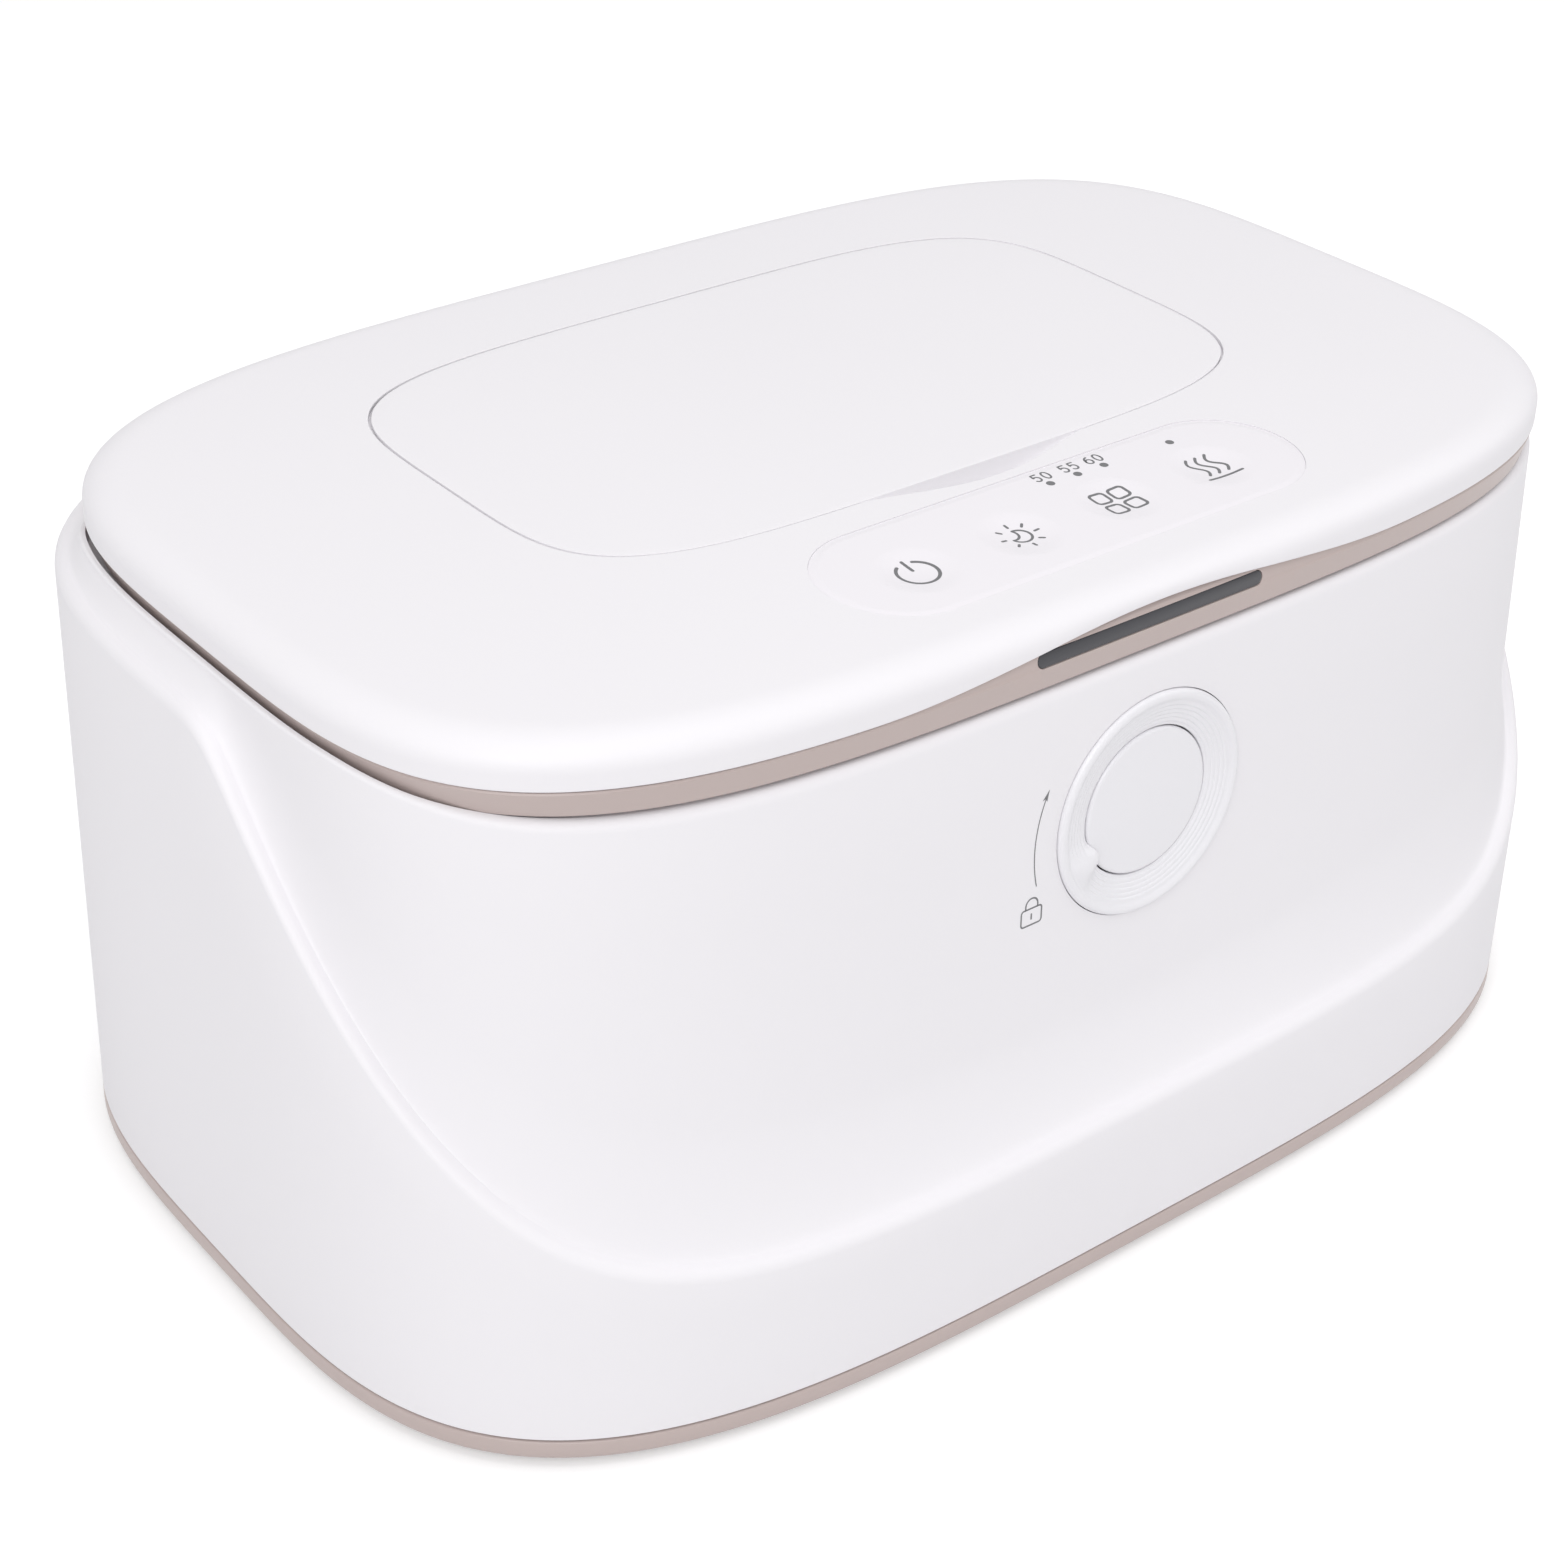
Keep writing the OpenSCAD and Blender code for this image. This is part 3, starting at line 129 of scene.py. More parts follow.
def moulded_grain_group() -> bpy.types.NodeTree:
    """Spark-eroded grain of moulded plastic: a fine height, and a slow drift of tone and gloss.

    Returns:
        The group, with outputs Height, Tone and Gloss.
    """
    name = "moulded_grain"
    if name in bpy.data.node_groups:
        return bpy.data.node_groups[name]
    tree = new_group(
        name,
        [("Scale", "NodeSocketFloat", 900.0), ("Mottle", "NodeSocketFloat", 0.02)],
        [("Height", "NodeSocketFloat"), ("Tone", "NodeSocketFloat"), ("Gloss", "NodeSocketFloat")],
    )
    nodes, links = tree.nodes, tree.links
    place = nodes.new("ShaderNodeTexCoord")
    fine = nodes.new("ShaderNodeTexNoise")
    fine.inputs["Detail"].default_value = 3.0
    fine.inputs["Roughness"].default_value = 0.6
    pits = nodes.new("ShaderNodeTexVoronoi")
    pits.feature = "SMOOTH_F1"
    slow = nodes.new("ShaderNodeTexNoise")
    slow.inputs["Scale"].default_value = 14.0
    slow.inputs["Detail"].default_value = 2.0
    links.new(place.outputs["Object"], fine.inputs["Vector"])
    links.new(place.outputs["Object"], pits.inputs["Vector"])
    links.new(place.outputs["Object"], slow.inputs["Vector"])
    links.new(nodes["in"].outputs["Scale"], fine.inputs["Scale"])
    links.new(nodes["in"].outputs["Scale"], pits.inputs["Scale"])
    height = nodes.new("ShaderNodeMath")
    height.operation = "ADD"
    links.new(fine.outputs["Fac"], height.inputs[0])
    links.new(pits.outputs["Distance"], height.inputs[1])
    links.new(height.outputs[0], nodes["out"].inputs["Height"])
    centred = nodes.new("ShaderNodeMath")
    centred.operation = "SUBTRACT"
    centred.inputs[1].default_value = 0.5
    links.new(slow.outputs["Fac"], centred.inputs[0])
    spread = nodes.new("ShaderNodeMath")
    spread.operation = "MULTIPLY"
    links.new(centred.outputs[0], spread.inputs[0])
    links.new(nodes["in"].outputs["Mottle"], spread.inputs[1])
    tone = nodes.new("ShaderNodeMath")
    tone.operation = "ADD"
    tone.inputs[1].default_value = 1.0
    links.new(spread.outputs[0], tone.inputs[0])
    links.new(tone.outputs[0], nodes["out"].inputs["Tone"])
    links.new(slow.outputs["Fac"], nodes["out"].inputs["Gloss"])
    return tree


def streak_group() -> bpy.types.NodeTree:
    """Fine parallel streaks of rolled or turned metal.

    Returns:
        The group, with outputs Height and Tone.
    """
    name = "metal_streaks"
    if name in bpy.data.node_groups:
        return bpy.data.node_groups[name]
    tree = new_group(
        name,
        [("Scale", "NodeSocketFloat", 600.0)],
        [("Height", "NodeSocketFloat"), ("Tone", "NodeSocketFloat")],
    )
    nodes, links = tree.nodes, tree.links
    place = nodes.new("ShaderNodeTexCoord")
    stretch = nodes.new("ShaderNodeMapping")
    stretch.inputs["Scale"].default_value = (0.04, 1.0, 1.0)
    lines = nodes.new("ShaderNodeTexNoise")
    lines.inputs["Detail"].default_value = 2.0
    links.new(place.outputs["Object"], stretch.inputs["Vector"])
    links.new(stretch.outputs["Vector"], lines.inputs["Vector"])
    links.new(nodes["in"].outputs["Scale"], lines.inputs["Scale"])
    links.new(lines.outputs["Fac"], nodes["out"].inputs["Height"])
    tone = nodes.new("ShaderNodeMapRange")
    tone.inputs["To Min"].default_value = 0.88
    tone.inputs["To Max"].default_value = 1.06
    links.new(lines.outputs["Fac"], tone.inputs["Value"])
    links.new(tone.outputs["Result"], nodes["out"].inputs["Tone"])
    return tree


@dataclass
class FinishBuilder:
    """Builds the node material of one finish."""

    finish: Finish
    name: str

    def build(self) -> bpy.types.Material:
        """Lay out the nodes of the finish and return the material."""
        f = self.finish
        mat = bpy.data.materials.new(self.name)
        mat.use_nodes = True
        nodes, links = mat.node_tree.nodes, mat.node_tree.links
        shader = nodes["Principled BSDF"]
        shader.inputs["Metallic"].default_value = f.metallic
        shader.inputs["Coat Weight"].default_value = f.coat
        shader.inputs["Coat Roughness"].default_value = 0.12
        shader.inputs["Transmission Weight"].default_value = f.clear
        shader.inputs["Specular IOR Level"].default_value = f.specular
        shader.inputs["Subsurface Weight"].default_value = f.subsurface
        shader.inputs["Subsurface Scale"].default_value = 0.002
        if f.glow > 0:
            shader.inputs["Emission Color"].default_value = (*f.colour, 1.0)
            shader.inputs["Emission Strength"].default_value = f.glow
        effect = nodes.new("ShaderNodeGroup")
        metal = f.grain is Grain.BRUSHED
        effect.node_tree = streak_group() if metal else moulded_grain_group()
        effect.inputs["Scale"].default_value = f.grain_size
        if not metal:
            effect.inputs["Mottle"].default_value = f.mottle
        tint = nodes.new("ShaderNodeVectorMath")
        tint.operation = "SCALE"
        tint.inputs[0].default_value = f.colour
        links.new(effect.outputs["Tone"], tint.inputs["Scale"])
        links.new(tint.outputs["Vector"], shader.inputs["Base Color"])
        rough = nodes.new("ShaderNodeMapRange")
        spread = 0.25 if f.grain is Grain.BRUSHED else 0.1
        rough.inputs["To Min"].default_value = max(0.02, f.roughness * (1 - spread))
        rough.inputs["To Max"].default_value = min(1.0, f.roughness * (1 + spread))
        links.new(effect.outputs["Height" if metal else "Gloss"], rough.inputs["Value"])
        links.new(rough.outputs["Result"], shader.inputs["Roughness"])
        bump = nodes.new("ShaderNodeBump")
        bump.inputs["Strength"].default_value = 1.0
        bump.inputs["Distance"].default_value = f.relief * MM
        links.new(effect.outputs["Height"], bump.inputs["Height"])
        links.new(bump.outputs["Normal"], shader.inputs["Normal"])
        return mat


WHITE_SHELL = Finish("white_shell", (0.805, 0.788, 0.815), 0.5, Grain.SATIN, 1400.0, 0.006, 0.012, specular=0.4)
ROSE_BEIGE = Finish("rose_beige", (0.485, 0.402, 0.382), 0.34, Grain.SATIN, 1400.0, 0.006, 0.02)
DIAL_WHITE = Finish("dial_white", (0.78, 0.77, 0.80), 0.30, Grain.SATIN, 1400.0, 0.004, 0.01)
TANK_WHITE = Finish("tank_white", (0.80, 0.80, 0.80), 0.22, Grain.SMOOTH, 500.0, 0.003, 0.01)
LINER_WHITE = Finish("liner_white", (0.78, 0.78, 0.79), 0.28, Grain.SMOOTH, 500.0, 0.003, 0.01)
PANEL_FILM = Finish("panel_film", (0.825, 0.80, 0.835), 0.22, Grain.SMOOTH, 900.0, 0.002, 0.008)
SMOKE_WINDOW = Finish("smoke_window", (0.034, 0.034, 0.041), 0.2, Grain.SMOOTH, 600.0, 0.001, 0.02, coat=0.3)
GUIDE_CLEAR = Finish("guide_clear", (0.22, 0.22, 0.23), 0.25, Grain.SMOOTH, 600.0, 0.001, 0.02)
SILICONE = Finish("silicone", (0.62, 0.65, 0.68), 0.45, Grain.RUBBER, 700.0, 0.004, 0.03, subsurface=0.2)
FOOT_RUBBER = Finish("foot_rubber", (0.03, 0.03, 0.032), 0.7, Grain.RUBBER, 900.0, 0.02, 0.1)
STEEL = Finish("steel", (0.56, 0.56, 0.57), 0.3, Grain.BRUSHED, 700.0, 0.003, metallic=1.0)
ALUMINIUM = Finish("aluminium", (0.78, 0.78, 0.79), 0.38, Grain.BRUSHED, 500.0, 0.004, metallic=1.0)
HEATER_FILM = Finish("heater_film", (0.45, 0.16, 0.02), 0.25, Grain.SMOOTH, 300.0, 0.01, 0.15)
FELT = Finish("felt", (0.5, 0.5, 0.47), 0.95, Grain.FELT, 350.0, 0.3, 0.2)
BOARD_GREEN = Finish("board_green", (0.012, 0.09, 0.045), 0.3, Grain.SMOOTH, 250.0, 0.01, 0.2, coat=0.4)
COMPONENT_BLACK = Finish("component_black", (0.018, 0.018, 0.02), 0.5, Grain.SATIN, 900.0, 0.01, 0.1)
CONTACT_BRASS = Finish("contact_brass", (0.72, 0.5, 0.2), 0.28, Grain.BRUSHED, 700.0, 0.003, metallic=1.0)
PRINT_GREY = Finish("panel_film", (0.17, 0.17, 0.178), 0.5, Grain.PRINT, 900.0, 0.001, 0.05)

FINISHES = {
    f.slot: f
    for f in (
        WHITE_SHELL, ROSE_BEIGE, DIAL_WHITE, TANK_WHITE, LINER_WHITE, PANEL_FILM, SMOKE_WINDOW, GUIDE_CLEAR,
        SILICONE, FOOT_RUBBER, STEEL, ALUMINIUM, HEATER_FILM, FELT, BOARD_GREEN, COMPONENT_BLACK, CONTACT_BRASS,
    )
}


def print_material() -> bpy.types.Material:
    """Return the material of the grey prints."""
    made = bpy.data.materials.get("finish_print_grey")
    return made if made is not None else FinishBuilder(PRINT_GREY, "finish_print_grey").build()


# Outlines and heights


@dataclass(frozen=True)
class Outline:
    """A rounded outline: half width, half depth, squareness and middle along Y."""

    a: float
    b: float
    n: float
    y: float = 0.0

    def at(self, ang: np.ndarray, inset: float | np.ndarray = 0.0) -> np.ndarray:
        """Points of the outline.

        Args:
            ang: Angles in radians.
            inset: How far inside the outline.

        Returns:
            Array of (x, y) rows.
        """
        c, s = np.cos(ang), np.sin(ang)
        r = (np.abs(c) ** self.n + np.abs(s) ** self.n) ** (-1.0 / self.n)
        return np.stack([(self.a - inset) * r * c, self.y + (self.b - inset) * r * s], axis=-1)

    def reach(self, x: float | np.ndarray, y: float | np.ndarray) -> np.ndarray:
        """Return 0 at the middle and 1 on the outline."""
        u = np.abs(np.asarray(x)) / self.a
        v = np.abs(np.asarray(y) - self.y) / self.b
        return (u**self.n + v**self.n) ** (1.0 / self.n)

    def front(self, x: float | np.ndarray) -> np.ndarray:
        """Return the Y of the outline's front at x."""
        return self.y - self.b * (1 - (np.abs(np.asarray(x)) / self.a) ** self.n) ** (1 / self.n)


def columns(count: int, crowd: float = 0.5) -> np.ndarray:
    """Angles around an outline, closer together at the corners.

    Args:
        count: Number of columns.
        crowd: How strongly they crowd into the corners, 0 to 1.

    Returns:
        Angles in radians.
    """
    t = 2 * math.pi * np.arange(count) / count
    return t + crowd * np.sin(4 * t) / 4


def lift(flat: np.ndarray, z: float | np.ndarray) -> np.ndarray:
    """Give flat points a height."""
    return np.concatenate([flat, np.broadcast_to(np.asarray(z, float), flat.shape[:1])[:, None]], axis=1)


def mix(p: np.ndarray, q: np.ndarray, t: float) -> np.ndarray:
    """Return p moved the share t of the way to q."""
    return p * (1 - t) + q * t


def soft_step(x: np.ndarray, s: float) -> np.ndarray:
    """A ramp with a rounded start of width s."""
    return s * np.logaddexp(0.0, x / s)


@dataclass(frozen=True)
class Shape:
    """The sizes that several pieces share."""

    base_z: float = 1.5
    rim_top: float = 4.8
    shell_z: float = 5.1
    ledge_z: float = 103.0
    front_ledge_z: float = 30.0
    slope: float = 1.1
    climb_y: float = -74.2
    deck_z: float = 103.8
    draft: float = math.radians(2.2)
    wall: float = 2.4
    frame_z: float = 104.6
    frame_top: float = 108.7
    edge_z: float = 108.85
    spring_z: float = 111.3
    lid_z: float = 116.9
    crown: float = 1.4
    well_z: float = 111.2
    scoop_h: float = 3.7
    scoop_w: float = 52.0
    lid: Outline = Outline(113.0, 71.8, 3.85, 0.35)
    door: Outline = Outline(67.2, 38.8, 4.4, 9.1)
    gasket: Outline = Outline(42.0, 18.0, 4.0, 9.1)
    knob_z: float = 79.0
    tank_y: float = 3.018
    bow_x: float = 1.0
    bow_w: float = 46.0
    bow_reach: float = 4.3
    bow_deep: float = 3.6
    arm_x: float = 26.0
    arm_half: float = 4.0
    arm_back: float = 3.0
    arm_deep: float = 2.0
    arm_low: float = 4.15
    arm_reach: float = 4.9
    arm_eye: float = 0.95

    def lower(self, ang: np.ndarray, z: float | np.ndarray, d: float = 0.0) -> np.ndarray:
        """Points of the lower tier at height z and inset d."""
        t = np.broadcast_to((np.asarray(z, float) - self.base_z) / (self.ledge_z - self.base_z), ang.shape)
        c, s = np.abs(np.cos(ang)), np.abs(np.sin(ang))
        n = 3.66 + (3.26 - 3.66) * t
        r = (c**n + s**n) ** (-1.0 / n)
        x = (120.0 - 1.2 * t - d) * r * np.cos(ang)
        y = (80.6 + 1.6 * t - d) * r * np.sin(ang)
        return np.stack([x, y, np.broadcast_to(np.asarray(z, float), ang.shape)], axis=-1)

    def upper(self, ang: np.ndarray, z: float | np.ndarray, d: float = 0.0) -> np.ndarray:
        """Points of the upper tier at height z and inset d."""
        lean = np.broadcast_to(math.tan(self.draft) * (104.0 - np.asarray(z, float)) - d, ang.shape)
        c, s = np.cos(ang), np.sin(ang)
        r = (np.abs(c) ** 3.9 + np.abs(s) ** 3.9) ** (-1.0 / 3.9)
        x = (112.2 + lean) * r * c
        y = 0.3 + (71.6 + lean) * r * s
        return np.stack([x, y, np.broadcast_to(np.asarray(z, float), ang.shape)], axis=-1)

    def tank(self, ang: np.ndarray, z: float, d: float = 0.0) -> np.ndarray:
        """Points of the wipes tank at height z and inset d."""
        t = max(0.0, (self.deck_z - z) / (self.deck_z - 31.0))
        return lift(Outline(101.0 - 3 * t, 58.48 - 2.5 * t, 4.0, self.tank_y).at(ang, d), z)

    def lid_top(self, x: float | np.ndarray, y: float | np.ndarray) -> np.ndarray:
        """Height of the lid over a point."""
        return self.lid_z - self.crown * self.lid.reach(x, y) ** 2

    def on_lid(self, flat: np.ndarray, drop: float | np.ndarray = 0.0) -> np.ndarray:
        """Lay flat points on the lid, lower by drop."""
        return lift(flat, self.lid_top(flat[:, 0], flat[:, 1]) - drop)

    def scoop(self, ang: np.ndarray) -> np.ndarray:
        """Rise of the lid line over the window."""
        p = self.lid.at(ang)
        rise = self.scoop_h * np.cos(np.clip(np.abs(p[:, 0]) / self.scoop_w, 0, 1) * math.pi / 2) ** 2
        return np.where(p[:, 1] < 0, rise, 0.0)

    def crest(self, ang: np.ndarray) -> np.ndarray:
        """Outer edge of the ledge."""
        y = self.lower(ang, (self.front_ledge_z + self.ledge_z) / 2)[:, 1]
        climb = self.front_ledge_z + self.slope * soft_step(y - self.climb_y, 4.0)
        return self.ledge_z - soft_step(self.ledge_z - climb, 2.2)

    def brow(self, ang: np.ndarray) -> np.ndarray:
        """Share, 0 to 1, by which the side walls stand up beside the lid's band."""
        y = self.lid.at(ang)[:, 1]
        front, rear = np.clip((y + 66.0) / 38.0, 0, 1), np.clip((62.0 - y) / 22.0, 0, 1)
        return front**2 * (3 - 2 * front) * rear**2 * (3 - 2 * rear)

    def bow(self, ang: np.ndarray) -> np.ndarray:
        """How far the finger recess bows out in front of the door."""
        p = self.door.at(ang)
        share = np.clip(np.abs(p[:, 0] - self.bow_x) / (self.bow_w / 2), 0, 1)
        return np.where(p[:, 1] < self.door.y - 20, self.bow_reach * np.cos(share * math.pi / 2) ** 1.6, 0.0)

    def behind(self, ang: np.ndarray) -> np.ndarray:
        """Share of the door's wider rear gap: 0 in front and at the sides, 1 at the rear."""
        t = np.clip((self.door.at(ang)[:, 1] - 26.0) / 16.0, 0, 1)
        return t**2 * (3 - 2 * t)

    def corner(self, ang: np.ndarray) -> np.ndarray:
        """Inner edge of the ledge, where it runs into the upper wall."""
        c = self.crest(ang)
        low = ((c - self.front_ledge_z) / (self.ledge_z - self.front_ledge_z)) ** 2
        rise = (10.5 + 4.0 * np.sin(2 * ang) ** 2) * (1 - low)
        return np.minimum(c + rise, self.ledge_z + 0.2)

    @property
    def arm(self) -> tuple[float, float]:
        """Y and Z of the door's turning axis."""
        y = self.door.y + self.door.b
        return y + self.arm_back, float(self.lid_top(0.0, y)) - self.arm_deep

    @property
    def knob_y(self) -> float:
        """Y of the wall at the middle of the lock ring."""
        return 0.3 - 71.6 - math.tan(self.draft) * (104.0 - self.knob_z)

    def knob_matrix(self) -> Matrix:
        """Frame of the lock ring: +Z out of the wall, +Y up the wall, in metres."""
        place = Matrix.Translation(Vector((0, self.knob_y, self.knob_z)) * MM)
        return place @ Matrix.Rotation(math.pi / 2 - self.draft, 4, "X")


SHAPE = Shape()


# Mesh makers


def finish_mesh(name: str, verts: np.ndarray, faces: Sequence[Sequence[int]], sharp: float = 35.0) -> bpy.types.Object:
    """Make an object from points in millimetres, smooth but for its real edges.

    Args:
        name: Name of the piece.
        verts: Array of points.
        faces: Vertex indices of each face.
        sharp: Edges that bend more than this, in degrees, stay sharp.

    Returns:
        The new object, linked to the scene.
    """
    mesh = bpy.data.meshes.new(name)
    mesh.from_pydata([tuple(v) for v in np.asarray(verts, float) * MM], [], [tuple(f) for f in faces])
    mesh.update()
    obj = bpy.data.objects.new(name, mesh)
    bpy.context.scene.collection.objects.link(obj)
    tidy(obj, sharp)
    return obj


def tidy(obj: bpy.types.Object, sharp: float = 35.0, merge: float = 1e-7) -> None:
    """Merge doubled points, point the faces outwards and mark the real edges.

    Args:
        obj: Mesh object to tidy.
        sharp: Edges that bend more than this, in degrees, stay sharp.
        merge: Points closer than this, in metres, become one.
    """
    bm = bmesh.new()
    bm.from_mesh(obj.data)
    bmesh.ops.remove_doubles(bm, verts=bm.verts, dist=merge)
    bmesh.ops.dissolve_degenerate(bm, edges=bm.edges, dist=merge)
    bmesh.ops.recalc_face_normals(bm, faces=bm.faces)
    limit = math.radians(sharp)
    for face in bm.faces:
        face.smooth = True
    for edge in bm.edges:
        edge.smooth = len(edge.link_faces) == 2 and edge.calc_face_angle(0.0) < limit
    bm.to_mesh(obj.data)
    bm.free()


def grid_faces(cols: int, rows: int, around: bool, closed: bool) -> list[tuple[int, int, int, int]]:
    """Quads of a grid of points stored column by column.

    Args:
        cols: Number of columns.
        rows: Points in a column.
        around: Whether the last column joins the first.
        closed: Whether the last point of a column joins its first.

    Returns:
        The quads.
    """
    faces = []
    for i in range(cols if around else cols - 1):
        j = (i + 1) % cols
        for k in range(rows if closed else rows - 1):
            m = (k + 1) % rows
            faces.append((i * rows + k, i * rows + m, j * rows + m, j * rows + k))
    return faces


def skin(name: str, rows: Sequence[np.ndarray], closed: bool = True, sharp: float = 35.0) -> bpy.types.Object:
    """A skin through rings of points; closed joins the last ring to the first, else both are capped.

    Args:
        name: Name of the piece.
        rows: Rings, each an array of points with the same count.
        closed: Whether the skin closes on itself.
        sharp: Edges that bend more than this, in degrees, stay sharp.

    Returns:
        The new object.
    """
    stack = np.stack(rows, axis=1)
    cols, depth = stack.shape[:2]
    faces: list[Sequence[int]] = list(grid_faces(cols, depth, True, closed))
    if not closed:
        faces.append([i * depth for i in range(cols)])
        faces.append([i * depth + depth - 1 for i in reversed(range(cols))])
    return finish_mesh(name, stack.reshape(-1, 3), faces, sharp)


def lathe(name: str, profile: Sequence[tuple[float, float]], place: Matrix, count: int = 256,
          warp: Optional[Callable[[np.ndarray], np.ndarray]] = None, sharp: float = 35.0) -> bpy.types.Object:
    """Turn a closed profile about the Z axis of a frame.

    Args:
        name: Name of the piece.
        profile: (radius, height) points in millimetres, closed from last to first.
        place: Frame in metres.
        count: Columns around.
        warp: Moves the local points, if given.
        sharp: Edges that bend more than this, in degrees, stay sharp.

    Returns:
        The new object, with its place in its mesh.
    """
    ang = 2 * math.pi * np.arange(count) / count
    pts = np.array([[(r * math.cos(a), r * math.sin(a), z) for r, z in profile] for a in ang])
    if warp is not None:
        pts = warp(pts)
    obj = finish_mesh(name, pts.reshape(-1, 3), grid_faces(count, len(profile), True, True), sharp)
    obj.data.transform(place)
    return obj


def arc(cx: float, cz: float, r: float, a0: float, a1: float, steps: int) -> list[tuple[float, float]]:
    """Points of an arc in a profile, angles in degrees."""
    return [
        (cx + r * math.cos(math.radians(a0 + (a1 - a0) * k / steps)), cz + r * math.sin(math.radians(a0 + (a1 - a0) * k / steps)))
        for k in range(steps + 1)
    ]


def rod_mesh(name: str, start: Sequence[float], end: Sequence[float], radius: float, sides: int = 96) -> bpy.types.Object:
    """A plain rod between two points, used to cut with."""
    a, b = Vector(start), Vector(end)
    turn = (b - a).to_track_quat("Z", "Y").to_matrix().to_4x4()
    bm = bmesh.new()
    bmesh.ops.create_cone(bm, cap_ends=True, segments=sides, radius1=radius * MM, radius2=radius * MM, depth=(b - a).length * MM)
    bm.transform(Matrix.Translation((a + b) / 2 * MM) @ turn)
    mesh = bpy.data.meshes.new(name)
    bm.to_mesh(mesh)
    bm.free()
    obj = bpy.data.objects.new(name, mesh)
    bpy.context.scene.collection.objects.link(obj)
    return obj


def prism(name: str, outline: Sequence[tuple[float, float]], z0: float, z1: float) -> bpy.types.Object:
    """An upright prism over an outline in X and Y, used to cut with."""
    n = len(outline)
    verts = [(x, y, z0) for x, y in outline] + [(x, y, z1) for x, y in outline]
    faces: list[Sequence[int]] = [(i, (i + 1) % n, n + (i + 1) % n, n + i) for i in range(n)]
    faces += [list(range(n)), list(range(2 * n - 1, n - 1, -1))]
    return finish_mesh(name, np.array(verts), faces)


def block(name: str, low: Sequence[float], high: Sequence[float]) -> bpy.types.Object:
    """An upright box between two corners."""
    (x0, y0, z0), (x1, y1, z1) = low, high
    return prism(name, [(x0, y0), (x1, y0), (x1, y1), (x0, y1)], z0, z1)


def capsule(x: float, y: float, w: float, h: float, steps: int = 24) -> list[tuple[float, float]]:
    """Outline of a slot with round ends around (x, y)."""
    r = h / 2
    right = [(x + w / 2 - r + r * math.cos(t), y + r * math.sin(t)) for t in np.linspace(-math.pi / 2, math.pi / 2, steps)]
    left = [(x - w / 2 + r + r * math.cos(t), y + r * math.sin(t)) for t in np.linspace(math.pi / 2, 3 * math.pi / 2, steps)]
    return right + left


def carve(target: bpy.types.Object, cutters: Sequence[bpy.types.Object], operation: str = "DIFFERENCE") -> None:
    """Cut the target with, or join it to, each tool, which is then removed.

    Args:
        target: Mesh object that changes.
        cutters: Closed mesh objects.
        operation: DIFFERENCE or UNION.
    """
    for tool in cutters:
        step = target.modifiers.new("carve", "BOOLEAN")
        step.operation = operation
        step.solver = "EXACT"
        step.object = tool
        bpy.context.view_layer.update()
        graph = bpy.context.evaluated_depsgraph_get()
        made = bpy.data.meshes.new_from_object(target.evaluated_get(graph))
        target.modifiers.clear()
        old = target.data
        target.data = made
        made.name = target.name
        bpy.data.meshes.remove(old)
        bpy.data.objects.remove(tool)
    tidy(target, merge=2e-7)


def dress(obj: bpy.types.Object, finish: Finish, body: str, *nodes: str) -> bpy.types.Object:
    """Give a piece its finish and its body, and hide the nodes it stands for.

    Args:
        obj: The piece.
        finish: Its finish.
        body: The body it rides on.
        nodes: Nodes of the frame that it replaces.

    Returns:
        The same piece.
    """
    obj.data.materials.clear()
    obj.data.materials.append(finish.material())
    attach(obj, body)
    if nodes:
        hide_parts(*nodes)
    LOG.info("piece %s on %s, %d faces", obj.name, body, len(obj.data.polygons))
    return obj


# Strokes printed on a surface


